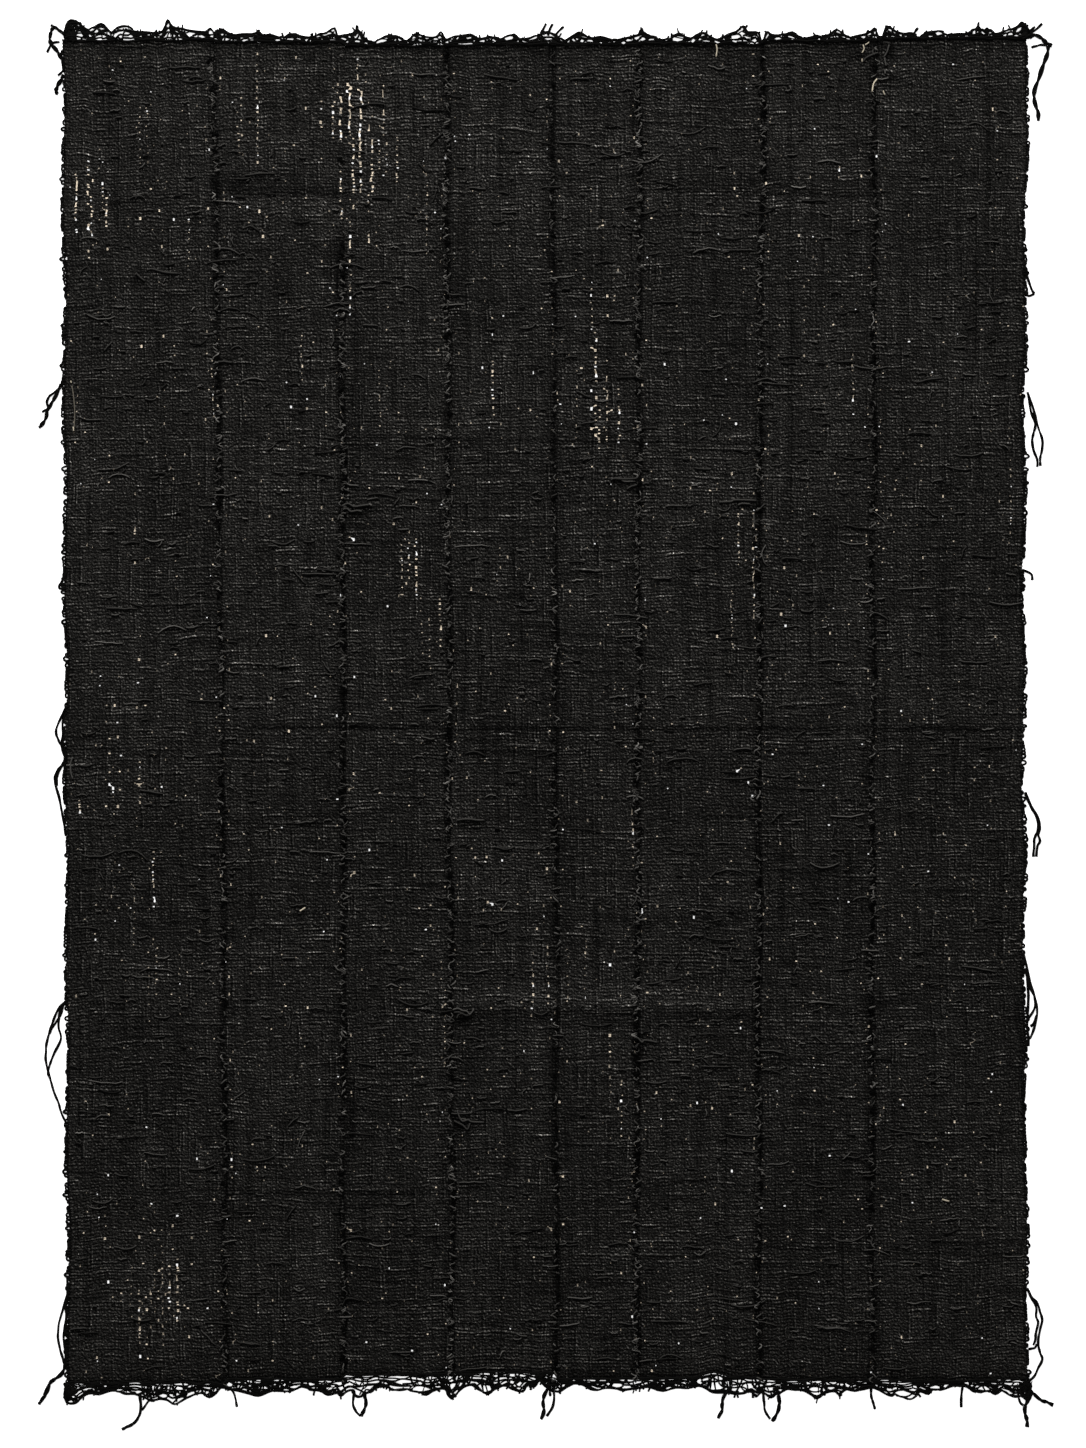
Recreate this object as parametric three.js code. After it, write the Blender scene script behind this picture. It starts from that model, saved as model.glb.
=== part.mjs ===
// A plain black mud cloth, lying face up on a flat surface.
// Eight narrow hand-woven strips are sewn edge to edge.
// Their warp ends stand out as a looped fringe at both ends.
// Millimetres, +Z up, +Y along the strips towards the upper end, origin under the middle of the cloth.

import * as THREE from "three";

// Driving dimensions
const SHEET_THICKNESS = 2.2;
const SEAM_GAP = 0.3; // from strip to strip, and from a strip to its fringe
const HALF_LENGTH = 745; // the long edges are given at this distance above and below the middle
const STRIP_COLUMNS = 3; // spans across one strip
const STATION_SPACING = 70; // every long edge runs straight between these sections
const SECTION_ROOM = 5; // least distance between two sections of a strip
const FOLD_FADE = 45; // length over which a fold dies out sideways
const FOLD_SECTIONS = [-1, -0.5, 0, 0.5, 1]; // places of a fold's sections, in half widths

// Fringe
const FRINGE_SPINE = 4;
const TOOTH_PITCH = 11;
const TOOTH_HALF_ROOT = 3.2;
const TOOTH_HALF_TIP = 1.1;
const TOOTH_SHORTEST = 4;
const TOOTH_LONGEST = 10;
const TOOTH_LEAN = 1.6;
const TAIL_HALF_ROOT = 2.6;
const TAIL_ROOM = 9; // bare spine on each side of a tail

// Long edges from left to right, the two outer selvedges with the seven seams between them.
// Each has its distance from the middle line at the upper end, the middle and the lower end of the cloth,
// with the size and length of its waver.
const LONG_EDGES = [
  { upper: -536, middle: -533, lower: -530, waver: 2.2, wave: 210 },
  { upper: -368, middle: -359, lower: -355, waver: 1.6, wave: 260 },
  { upper: -224, middle: -224, lower: -223, waver: 1.2, wave: 230 },
  { upper: -109, middle: -106, lower: -102, waver: 1.4, wave: 300 },
  { upper: 8, middle: 12, lower: 13, waver: 0.9, wave: 340 },
  { upper: 106, middle: 104, lower: 102, waver: 1.2, wave: 250 },
  { upper: 243, middle: 238, lower: 239, waver: 1.5, wave: 280 },
  { upper: 367, middle: 364, lower: 364, waver: 1.8, wave: 240 },
  { upper: 535, middle: 531, lower: 536, waver: 2.2, wave: 200 },
];

// Woven ends of each strip, measured from the middle of the cloth.
const STRIPS = [
  { name: "strip_1", upper: 762, lower: -737, colour: 0x1d1c1b },
  { name: "strip_2", upper: 760, lower: -733, colour: 0x1c1b1a },
  { name: "strip_3", upper: 756, lower: -728, colour: 0x1b1a1a },
  { name: "strip_4", upper: 757, lower: -726, colour: 0x1a1a19 },
  { name: "strip_5", upper: 757, lower: -732, colour: 0x1c1b1b },
  { name: "strip_6", upper: 758, lower: -731, colour: 0x1a1919 },
  { name: "strip_7", upper: 761, lower: -733, colour: 0x1b1b1a },
  { name: "strip_8", upper: 764, lower: -734, colour: 0x1c1b1a },
];

// Pressed folds that stand up as soft ridges.
// Each has its sideways reach, its place along the cloth at its left and right ends, its rise and half width.
const FOLDS = [
  { from: -365, to: -223, left: 590, right: 586, rise: 2.4, halfWidth: 24 },
  { from: 104, to: 362, left: 594, right: 586, rise: 2.6, halfWidth: 24 },
  { from: -225, to: 240, left: 318, right: 312, rise: 1.6, halfWidth: 30 },
  { from: -560, to: 560, left: -4, right: -6, rise: 4.2, halfWidth: 26 },
  { from: -560, to: -222, left: -107, right: -104, rise: 2.4, halfWidth: 24 },
  { from: -108, to: 240, left: -204, right: -207, rise: 2.6, halfWidth: 24 },
  { from: -110, to: 240, left: -309, right: -313, rise: 3.6, halfWidth: 26 },
  { from: -360, to: -100, left: -521, right: -524, rise: 1.6, halfWidth: 28 },
  { from: 236, to: 560, left: -580, right: -592, rise: 2.4, halfWidth: 24 },
];

// Long tails of the fringe: root along the edge, reach past the fringe's spine and sideways lean.
const UPPER_TAILS = [
  { root: -531, reach: 12, lean: -18 },
  { root: -419, reach: 16, lean: 3 },
  { root: -234, reach: 12, lean: -2 },
  { root: 5, reach: 13, lean: 2 },
  { root: 218, reach: 9, lean: 3 },
  { root: 471, reach: 11, lean: -2 },
  { root: 528, reach: 6, lean: 28 },
];
const LOWER_TAILS = [
  { root: -526, reach: 14, lean: -37 },
  { root: -445, reach: 41, lean: -22 },
  { root: -350, reach: 20, lean: 8 },
  { root: -208, reach: 35, lean: 2 },
  { root: -2, reach: 42, lean: -5 },
  { root: 203, reach: 34, lean: -11 },
  { root: 249, reach: 36, lean: 3 },
  { root: 361, reach: 21, lean: 6 },
  { root: 465, reach: 17, lean: -2 },
  { root: 517, reach: 37, lean: 16 },
  { root: 532, reach: 14, lean: 31 },
];

// Sideways place of a long edge at a station: its drift down the cloth with a slow waver.
function edgeAtStation(edge, y) {
  const t = y / HALF_LENGTH;
  const slant = (edge.upper - edge.lower) / 2;
  const bow = (edge.upper + edge.lower) / 2 - edge.middle;
  return edge.middle + slant * t + bow * t * t + edge.waver * Math.sin((2 * Math.PI * y) / edge.wave);
}

// Sideways place of a long edge at any distance along the cloth.
function edgeAt(edge, y) {
  const station = Math.floor(y / STATION_SPACING) * STATION_SPACING;
  const here = edgeAtStation(edge, station);
  const next = edgeAtStation(edge, station + STATION_SPACING);
  return THREE.MathUtils.lerp(here, next, (y - station) / STATION_SPACING);
}

// Place of a fold's crest along the cloth at a given distance from the middle line.
function crestAt(fold, x) {
  const t = (x - fold.from) / (fold.to - fold.from);
  return THREE.MathUtils.lerp(fold.left, fold.right, t);
}

// Height of the sheet's underside above the surface it lies on.
function liftAt(x, y) {
  let lift = 0;
  for (const fold of FOLDS) {
    const t = (y - crestAt(fold, x)) / fold.halfWidth;
    if (Math.abs(t) >= 1) continue;
    const fadeIn = THREE.MathUtils.smoothstep(x, fold.from, fold.from + FOLD_FADE);
    const fadeOut = 1 - THREE.MathUtils.smoothstep(x, fold.to - FOLD_FADE, fold.to);
    lift += fold.rise * fadeIn * fadeOut * 0.5 * (1 + Math.cos(Math.PI * t));
  }
  return lift;
}

// Places of a strip's sections from its lower to its upper end: its ends, the stations and its folds.
function stripSections(strip, leftEdge, rightEdge) {
  const middleX = (leftEdge.middle + rightEdge.middle) / 2;
  const sections = [strip.lower, strip.upper];
  const firstStation = Math.ceil(strip.lower / STATION_SPACING) * STATION_SPACING;
  for (let y = firstStation; y < strip.upper; y += STATION_SPACING) {
    sections.push(y);
  }
  for (const fold of FOLDS) {
    const misses = fold.to <= leftEdge.middle || fold.from >= rightEdge.middle;
    if (misses) continue;
    for (const place of FOLD_SECTIONS) {
      const y = crestAt(fold, middleX) + place * fold.halfWidth;
      const crowded = sections.some((section) => Math.abs(section - y) < SECTION_ROOM);
      if (!crowded) sections.push(y);
    }
  }
  return sections.sort((a, b) => a - b);
}

// A closed sheet of even thickness over a grid of points, rows from the lower end and columns from the left.
function sheetGeometry(grid) {
  const rows = grid.length;
  const columns = grid[0].length;
  const layer = rows * columns;
  const under = (r, c) => r * columns + c;
  const over = (r, c) => layer + under(r, c);
  const positions = [];
  for (const rise of [0, SHEET_THICKNESS]) {
    for (const point of grid.flat()) {
      positions.push(point.x, point.y, point.z + rise);
    }
  }
  const triangles = [];
  const quad = (a, b, c, d) => triangles.push(a, b, c, a, c, d);
  for (let r = 0; r + 1 < rows; r += 1) {
    for (let c = 0; c + 1 < columns; c += 1) {
      quad(over(r, c), over(r, c + 1), over(r + 1, c + 1), over(r + 1, c));
      quad(under(r, c), under(r + 1, c), under(r + 1, c + 1), under(r, c + 1));
    }
    quad(under(r, 0), over(r, 0), over(r + 1, 0), under(r + 1, 0));
    const last = columns - 1;
    quad(under(r, last), under(r + 1, last), over(r + 1, last), over(r, last));
  }
  for (let c = 0; c + 1 < columns; c += 1) {
    quad(under(0, c), under(0, c + 1), over(0, c + 1), over(0, c));
    const last = rows - 1;
    quad(under(last, c), over(last, c), over(last, c + 1), under(last, c + 1));
  }
  const geometry = new THREE.BufferGeometry();
  geometry.setAttribute("position", new THREE.Float32BufferAttribute(positions, 3));
  geometry.setIndex(triangles);
  geometry.computeVertexNormals();
  return geometry;
}

// One woven strip between two long edges, with half a seam's gap on each sewn side.
function stripMesh(index) {
  const strip = STRIPS[index];
  const leftEdge = LONG_EDGES[index];
  const rightEdge = LONG_EDGES[index + 1];
  const leftGap = index === 0 ? 0 : SEAM_GAP / 2;
  const rightGap = index === STRIPS.length - 1 ? 0 : SEAM_GAP / 2;
  const grid = stripSections(strip, leftEdge, rightEdge).map((y) => {
    const left = edgeAt(leftEdge, y) + leftGap;
    const right = edgeAt(rightEdge, y) - rightGap;
    const row = [];
    for (let c = 0; c <= STRIP_COLUMNS; c += 1) {
      const x = THREE.MathUtils.lerp(left, right, c / STRIP_COLUMNS);
      row.push(new THREE.Vector3(x, y, liftAt(x, y)));
    }
    return row;
  });
  return namedMesh(strip.name, sheetGeometry(grid), strip.colour);
}

// An even spread of numbers from 0 to 1 with no visible order, one for each whole number.
function scatter(k) {
  const wave = Math.sin(k * 12.9898) * 43758.5453;
  return wave - Math.floor(wave);
}

// Teeth of one fringe from left to right, its tails among them.
function fringeTeeth(tails, left, right) {
  const teeth = tails.map(({ root, reach, lean }) => ({ x: root, half: TAIL_HALF_ROOT, reach, lean }));
  const count = Math.floor((right - left) / TOOTH_PITCH);
  for (let k = 0; k < count; k += 1) {
    const x = left + (k + 0.5) * TOOTH_PITCH;
    const crowded = tails.some((tail) => {
      const middle = tail.root + tail.lean / 2;
      return Math.abs(x - middle) < Math.abs(tail.lean) / 2 + TAIL_ROOM;
    });
    if (crowded) continue;
    const reach = THREE.MathUtils.lerp(TOOTH_SHORTEST, TOOTH_LONGEST, scatter(k));
    const lean = TOOTH_LEAN * (2 * scatter(k + count) - 1);
    teeth.push({ x, half: TOOTH_HALF_ROOT, reach, lean });
  }
  return teeth.sort((a, b) => a.x - b.x);
}

// One comb of warp ends along the strips' upper (side 1) or lower (side -1) ends.
function fringeMesh(name, side, tails, colour) {
  const endOf = (strip) => (side > 0 ? strip.upper : strip.lower);
  const corners = LONG_EDGES.map((edge, k) => edgeAt(edge, endOf(STRIPS[Math.min(k, STRIPS.length - 1)])));
  const left = corners[0];
  const right = corners[corners.length - 1];
  const rootLine = (x) => {
    const index = STRIPS.findIndex((strip, k) => x < corners[k + 1]);
    const strip = STRIPS[index < 0 ? STRIPS.length - 1 : index];
    return endOf(strip) + side * (SEAM_GAP + FRINGE_SPINE);
  };

  // The inner line follows the strips' ends, and steps beside the strip that stands out further.
  const innerLine = STRIPS.map((strip) => endOf(strip) + side * SEAM_GAP);
  const outline = [new THREE.Vector2(left, innerLine[0])];
  for (let k = 1; k < STRIPS.length; k += 1) {
    const step = side * (innerLine[k] - innerLine[k - 1]);
    if (step === 0) continue;
    const x = corners[k] - Math.sign(step) * SEAM_GAP;
    outline.push(new THREE.Vector2(x, innerLine[k - 1]), new THREE.Vector2(x, innerLine[k]));
  }
  outline.push(new THREE.Vector2(right, innerLine[STRIPS.length - 1]));
  for (const tooth of fringeTeeth(tails, left, right).reverse()) {
    const rootY = rootLine(tooth.x);
    const tipX = tooth.x + tooth.lean;
    const tipY = rootY + side * tooth.reach;
    outline.push(new THREE.Vector2(tooth.x + tooth.half, rootY));
    outline.push(new THREE.Vector2(tipX + TOOTH_HALF_TIP, tipY));
    outline.push(new THREE.Vector2(tipX - TOOTH_HALF_TIP, tipY));
    outline.push(new THREE.Vector2(tooth.x - tooth.half, rootY));
  }
  const extrude = { depth: SHEET_THICKNESS, bevelEnabled: false };
  return namedMesh(name, new THREE.ExtrudeGeometry(new THREE.Shape(outline), extrude), colour);
}

function namedMesh(name, geometry, colour) {
  const material = new THREE.MeshStandardMaterial({ color: colour, roughness: 0.95, metalness: 0 });
  const mesh = new THREE.Mesh(geometry, material);
  mesh.name = name;
  return mesh;
}

const cloth = new THREE.Group();
STRIPS.forEach((strip, index) => cloth.add(stripMesh(index)));
cloth.add(fringeMesh("fringe_top", 1, UPPER_TAILS, 0x161514));
cloth.add(fringeMesh("fringe_bottom", -1, LOWER_TAILS, 0x161514));

// The origin lies on the surface, under the middle of the cloth's box.
const box = new THREE.Box3().setFromObject(cloth);
const middle = box.getCenter(new THREE.Vector3());
cloth.position.set(-middle.x, -middle.y, -box.min.z);

export default cloth;
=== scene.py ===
"""A plain black mud cloth, laid flat and seen from straight above.

Eight narrow woven strips are sewn edge to edge, and their warp ends make a looped fringe.
Tables hold millimetres in the frame's axes, with +Y towards the upper end of the cloth.
Places that follow the photograph are pixels of its 1086 x 1448 image, under px and py.
"""

import math
from collections import namedtuple

import bmesh
import bpy
import numpy as np
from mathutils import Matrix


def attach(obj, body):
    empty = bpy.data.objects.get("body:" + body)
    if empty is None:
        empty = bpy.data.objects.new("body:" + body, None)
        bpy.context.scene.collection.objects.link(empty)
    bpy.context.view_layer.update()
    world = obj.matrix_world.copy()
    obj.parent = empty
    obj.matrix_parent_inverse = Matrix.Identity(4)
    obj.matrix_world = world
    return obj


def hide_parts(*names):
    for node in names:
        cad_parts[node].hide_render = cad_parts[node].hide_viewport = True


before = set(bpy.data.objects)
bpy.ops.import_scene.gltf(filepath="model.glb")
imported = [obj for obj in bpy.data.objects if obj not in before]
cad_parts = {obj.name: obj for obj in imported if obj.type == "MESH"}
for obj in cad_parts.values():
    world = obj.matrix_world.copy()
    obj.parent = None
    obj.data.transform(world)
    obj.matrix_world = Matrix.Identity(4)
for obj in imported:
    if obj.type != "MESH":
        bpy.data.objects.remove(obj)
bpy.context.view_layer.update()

bl_info = {
    "name": "Mud cloth",
    "version": (1, 0, 0),
    "blender": (4, 5, 0),
    "location": "View3D > Sidebar > Mud cloth",
    "description": "Builds a plain black strip-woven mud cloth with its stitches and fringe",
    "category": "Add Mesh",
}

MM = 0.001
STRIP_SEED = 4100
SEAM_SEED = 4200
SELVEDGE_SEED = 4300
FRINGE_SEED = 4400
LOOSE_SEED = 4500
SLACK_SEED = 4700
UNDYED_SEED = 4800

# The photograph's image, and its scale on the cloth
IMAGE_HEIGHT_PX = 1448
MM_PER_PX = 10 / 9
ORIGIN_PX = 545.5
ORIGIN_PY = 725

# The strips, as the frame has them
HALF_LENGTH = 745
STATION_SPACING = 70
STATION_REACH = 1.1
SEAM_TUCK = 0.4
FOLD_FADE = 45
STRIP_COUNT = 8

LongEdge = namedtuple("LongEdge", "upper middle lower waver wave")
LONG_EDGES = (
    LongEdge(-536, -533, -530, 2.2, 210),
    LongEdge(-368, -359, -355, 1.6, 260),
    LongEdge(-224, -224, -223, 1.2, 230),
    LongEdge(-109, -106, -102, 1.4, 300),
    LongEdge(8, 12, 13, 0.9, 340),
    LongEdge(106, 104, 102, 1.2, 250),
    LongEdge(243, 238, 239, 1.5, 280),
    LongEdge(367, 364, 364, 1.8, 240),
    LongEdge(535, 531, 536, 2.2, 200),
)

Ends = namedtuple("Ends", "upper lower")
STRIP_ENDS = (
    Ends(762, -737),
    Ends(760, -733),
    Ends(756, -728),
    Ends(757, -726),
    Ends(757, -732),
    Ends(758, -731),
    Ends(761, -733),
    Ends(764, -734),
)

# Pinholes that stand alone or in pairs, in pixels
PINHOLES = (
    (106, 707), (112, 707), (106, 725), (117, 725), (107, 741), (117, 741), (108, 756), (118, 756),
    (107, 773), (112, 773), (118, 773), (106, 790), (111, 790), (118, 790), (106, 807), (116, 807),
    (175, 654), (137, 660), (201, 698), (139, 764), (137, 780), (161, 786), (323, 800), (336, 800),
    (603, 317), (610, 317), (575, 317), (585, 317), (603, 430), (591, 420), (594, 425), (588, 426),
    (616, 441), (603, 391), (592, 378), (735, 425), (503, 317), (538, 309), (604, 297), (611, 299),
    (579, 372), (545, 955), (545, 977), (545, 986), (531, 1003), (519, 1003), (512, 1003), (641, 915),
    (642, 922), (608, 966), (603, 946), (490, 910), (501, 913), (608, 1055), (606, 1037), (431, 1020),
    (442, 1047), (442, 1059), (454, 953), (579, 928), (158, 214), (140, 221), (150, 191), (154, 248),
    (240, 212), (246, 213), (257, 212), (207, 214), (188, 222), (171, 221), (106, 253), (145, 114),
    (253, 111), (138, 1298), (141, 1296), (146, 1298), (157, 1298), (158, 1301), (167, 1300),
    (169, 1306), (138, 1311), (145, 1312), (137, 1323), (137, 1333), (137, 1345), (145, 1345),
    (136, 1359), (145, 1359), (173, 1225), (173, 1218), (173, 1250), (168, 1266), (175, 1266),
    (158, 1275), (192, 1266), (188, 1268), (129, 1269), (140, 1266), (108, 1285), (117, 1298),
    (186, 1308), (220, 1356), (235, 1361), (138, 1239), (163, 1246), (363, 1341), (189, 1241),
    (205, 1232), (206, 1308), (757, 500), (875, 511), (877, 543), (877, 548), (877, 554), (779, 617),
    (783, 631), (827, 636), (737, 561), (746, 561), (754, 561),
)
PINHOLE_STRENGTH = 0.8

# Soft ridges left by folding, each from start to stop across the cloth
Fold = namedtuple("Fold", "start stop left right rise half_width creased_from")
FOLDS = (
    Fold(-365, -223, 590, 586, 2.4, 24, -365),
    Fold(104, 362, 594, 586, 2.6, 24, 104),
    Fold(-225, 240, 318, 312, 1.6, 30, -225),
    Fold(-560, 560, -4, -6, 4.2, 26, -345),
    Fold(-560, -222, -107, -104, 2.4, 24, -560),
    Fold(-108, 240, -204, -207, 2.6, 24, -108),
    Fold(-110, 240, -309, -313, 3.6, 26, -110),
    Fold(-360, -100, -521, -524, 1.6, 28, -360),
    Fold(236, 560, -580, -592, 2.4, 24, 236),
)

# Painted light and shade of each fold: lighter above its crest by step, darker along a line at an offset
Crease = namedtuple("Crease", "step depth offset width")
PAINTED_FOLD_SHADES = (
    Crease(-0.45, 0.65, 5, 5.0),
    Crease(-0.36, 0.45, 1, 3.0),
    Crease(0.00, 0.45, 0, 3.0),
    Crease(-0.22, 0.90, 1, 3.0),
    Crease(-0.15, 0.50, -5, 2.5),
    Crease(-0.08, 0.45, -7, 2.8),
    Crease(0.18, -0.60, 3, 3.5),
    Crease(-0.02, 0.55, 2, 2.5),
    Crease(-0.15, 0.50, 0, 2.3),
)

# Unevenness of the weave, in layers: its size, and the rows and columns over which it changes
Layer = namedtuple("Layer", "size rows columns")
WEFT_WANDER = (Layer(2.4, 34, 13), Layer(1.0, 9, 6))
WARP_SWAY = (Layer(0.55, 60, 1), Layer(0.35, 12, 2))
SELVEDGE_WAVER = Layer(1.0, 5, 1)
CREASE_WOBBLE = Layer(1.2, 60, 4)
CREASE_VARIETY = Layer(0.6, 60, 7)
RIB_VARIETY = Layer(0.5, 22, 9)
FACE_UNEVENNESS = Layer(0.3, 5, 5)
TONE_PATCHES = (Layer(0.16, 60, 22), Layer(0.08, 16, 8))
WARP_TONES = (Layer(0.22, 70, 1), Layer(0.18, 9, 1))
CREASE_VIGOUR = 0.9
SEAM_SHADE_VARIETY = 0.7
SEAM_SHADE_ROWS = 16
END_UNEVENNESS = 1.5
END_COLUMNS = 3

# Unevenness along a single yarn: its size, and the points over which it changes
Ripple = namedtuple("Ripple", "size cell")
WEFT_TONES = Ripple(0.10, 6)
WEFT_WAVER = Ripple(0.45, 4)
WEFT_LIFT = Ripple(0.35, 5)
STRAND_RIPPLE = Ripple(0.4, 3)
LOOSE_WANDER = Ripple(0.25, 3)
LOOSE_RIPPLE = Ripple(0.2, 4)
LOOSE_SLUBS = Ripple(0.22, 2)

# Slubs and gaps in single yarns: how many a strip has, and how many rows or columns long they are
Streaks = namedtuple("Streaks", "count shortest average")
SLUBS = Streaks(260, 2.5, 5.5)
WEFT_GAPS = Streaks(120, 4, 7)
WARP_GAPS = Streaks(30, 15, 40)
STREAK_STRENGTH = (0.3, 1)
SLUB_HEIGHT = 0.8
# A slub is painted lighter, partly as a highlight, with a painted shadow on the row below; gaps are painted
# darker as shade
SLUB_LIGHT = 1.2
SLUB_SHADOW = 1.0
GAP_DEPTH = 0.7
WEFT_GAP_SHADE = 1.3
WARP_GAP_SHADE = 0.7

# Bands of painted shade beside the seams, dark bands along the ends, and the share of gaps worn open beside
# the seams
Shade = namedtuple("Shade", "depth offset width")
SHADE_RIGHT_OF_SEAM = Shade(1.6, 0, 2.6)
SHADE_LEFT_OF_SEAM = Shade(1.0, 1, 5.0)
END_SHADES = (Shade(1.0, 0, 5), Shade(0.3, 0, 16))
HOLES_RIGHT_OF_SEAM = Shade(0.06, 5, 3)
HOLES_LEFT_OF_SEAM = Shade(0.03, 9, 4)
HOLE_SHARE = 0.0108
HOLE_CLUSTERING = 1.9
HOLE_RUN = 9
LADDER_WARPS = 0.4
LADDER_GAINS = (2.0, 0.15)
WORN_CLUSTERING = 1.5
WORN_STRENGTH = 1.4
WORN_FADE = 0.8
SNAG_SHADOW_DEPTH = 1.2
SNAG_SHADOW_FADE = 1.1

# The weave's relief
EDGE_HEIGHT = 0.25
EDGE_ROLL = 2.4
WEFT_OVER_WARP = 0.26
SELVEDGE_SCALLOP = 0.8
SCALLOP_LEVEL = 0.4
END_REACH = 8
CALM_ROWS = 24
UPPER_TRIM = 0.8
LOWER_TRIM = 5
CREASE_DEPTH = 1.0
CREASE_WIDTH = 2.0
CREASE_FULL_RISE = 4
CREASE_RISE_POWER = 0.6
SEAM_RIDGE = 0.9
SEAM_RIDGE_INSET = 4.6
SEAM_RIDGE_WIDTH = 2.6
SEAM_FULLNESS = (0.8, 1.0, 1.3, 0.5, 1.3, 1.0, 0.9)

# The seam that has sunk into the weave above a pixel, and how much of it shows there
SunkenSeam = namedtuple("SunkenSeam", "number py share")
SUNKEN_SEAM = SunkenSeam(2, 245, 0.2)
SEAM_FADE = 60

# Worn places where pinholes show: centre, half sizes and the share of gaps that are open
Worn = namedtuple("Worn", "px py half_width half_height share")
WORN_PLACES = [Worn(*row) for row in (
    (357, 130, 30, 65, 0.03), (350, 230, 12, 50, 0.05), (88, 195, 18, 42, 0.07), (111, 775, 8, 90, 0.02),
    (142, 920, 24, 85, 0.03), (155, 1285, 22, 100, 0.04), (152, 1300, 20, 14, 0.16),
    (141, 1335, 5, 45, 0.10), (252, 1165, 18, 16, 0.05), (415, 615, 5, 80, 0.09), (438, 620, 4, 32, 0.10),
    (600, 425, 26, 48, 0.08), (596, 515, 6, 50, 0.05), (625, 625, 16, 28, 0.04), (734, 575, 5, 75, 0.08),
    (755, 575, 4, 75, 0.10), (848, 748, 24, 9, 0.06), (530, 970, 20, 42, 0.07), (617, 1090, 18, 32, 0.04),
    (1005, 520, 6, 22, 0.08), (1005, 690, 5, 15, 0.10), (148, 100, 10, 40, 0.03),
)]

# Upright rows of pinholes: where they stand, from where to where, how many pixels apart and how open
Ladder = namedtuple("Ladder", "px py to_py pitch strength")
LADDERS = [Ladder(*row) for row in (
    (74, 390, 450, 8, 0.2), (75, 176, 238, 3.2, 0.9), (78, 800, 818, 3.6, 1), (88, 161, 234, 3.2, 0.75),
    (89, 212, 268, 7, 0.35), (101, 182, 200, 6, 0.6), (104, 200, 233, 5, 0.6),
    (130, 1270, 1330, 10, 0.15), (132, 890, 950, 8, 0.2), (136, 770, 830, 9, 0.15),
    (137, 1292, 1352, 5.5, 0.65), (139, 110, 170, 8, 0.2), (145, 110, 168, 9, 0.15),
    (147, 970, 1030, 9, 0.15), (152, 850, 910, 4.6, 0.8), (153, 940, 1000, 8, 0.2),
    (159, 1240, 1350, 7.5, 0.25), (166, 1262, 1320, 4.6, 0.8), (174, 1262, 1318, 5.5, 0.65),
    (178, 960, 1018, 9, 0.15), (188, 222, 280, 8, 0.2), (211, 362, 420, 7, 0.35),
    (237, 100, 158, 7, 0.35), (255, 62, 168, 6.5, 0.45), (301, 332, 388, 7, 0.35),
    (319, 122, 129, 3.5, 0.9), (320, 106, 113, 3, 0.4), (332, 104, 140, 5, 0.7), (335, 88, 98, 4, 0.5),
    (338, 99, 143, 3.4, 1), (338, 177, 197, 4, 0.6), (338, 204, 213, 5, 0.5), (341, 203, 224, 5, 0.55),
    (346, 126, 133, 2.4, 1.3), (346.5, 88, 99, 3, 0.8), (346.5, 134, 149, 5, 0.4), (347, 99, 126, 4, 0.9),
    (348, 262, 320, 5.5, 0.65), (348, 225, 231, 3, 0.6), (348.5, 242, 251, 2.6, 1),
    (350, 207, 214, 3, 0.9), (351, 149, 197, 3.8, 0.9), (353, 110, 147, 5, 0.5), (356.5, 60, 95, 6, 0.5),
    (358, 94, 146, 2.8, 1.1), (358.5, 147, 196, 3.6, 0.75), (366, 238, 245, 3, 0.8),
    (367.5, 199, 213, 4, 0.7), (368.5, 104, 151, 5, 0.6), (369, 154, 200, 4, 0.8),
    (371, 168, 176, 2.4, 1.3), (379, 372, 430, 8, 0.2), (379, 140, 178, 6, 0.5),
    (380.5, 111, 130, 4, 0.7), (382, 87, 104, 3.5, 0.45), (385, 146, 178, 6, 0.35),
    (395, 168, 181, 3, 0.6), (396.5, 138, 186, 5, 0.55), (401, 540, 600, 7, 0.35),
    (406, 532, 590, 6, 0.55), (415, 540, 602, 4.2, 0.85), (420, 602, 660, 9, 0.15),
    (424, 162, 268, 8.5, 0.15), (429, 620, 678, 8, 0.2), (439, 600, 658, 5.5, 0.65),
    (441, 962, 1070, 8, 0.2), (447, 260, 320, 9, 0.15), (491, 362, 420, 5.5, 0.65),
    (497, 550, 608, 9, 0.15), (530, 962, 1020, 5.5, 0.65), (545, 950, 1008, 6.5, 0.45),
    (551, 300, 358, 8, 0.2), (566, 950, 1008, 9, 0.15), (573, 392, 448, 8, 0.2), (583, 942, 998, 9, 0.15),
    (590, 282, 338, 7, 0.35), (592, 330, 440, 5, 0.75), (597, 400, 460, 5.5, 0.65),
    (604, 380, 440, 6.5, 0.45), (608, 1050, 1110, 9, 0.15), (612, 682, 738, 8, 0.2),
    (617, 390, 448, 6.5, 0.45), (618, 1080, 1140, 7, 0.35), (630, 810, 868, 7, 0.35),
    (652, 720, 778, 9, 0.15), (730, 592, 650, 4, 0.3), (735, 515, 568, 5, 0.45), (753, 510, 620, 4, 0.35),
    (850, 362, 420, 6, 0.55), (873, 82, 138, 8, 0.2), (875, 212, 268, 7, 0.35), (1009, 432, 548, 9, 0.15),
)]

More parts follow.
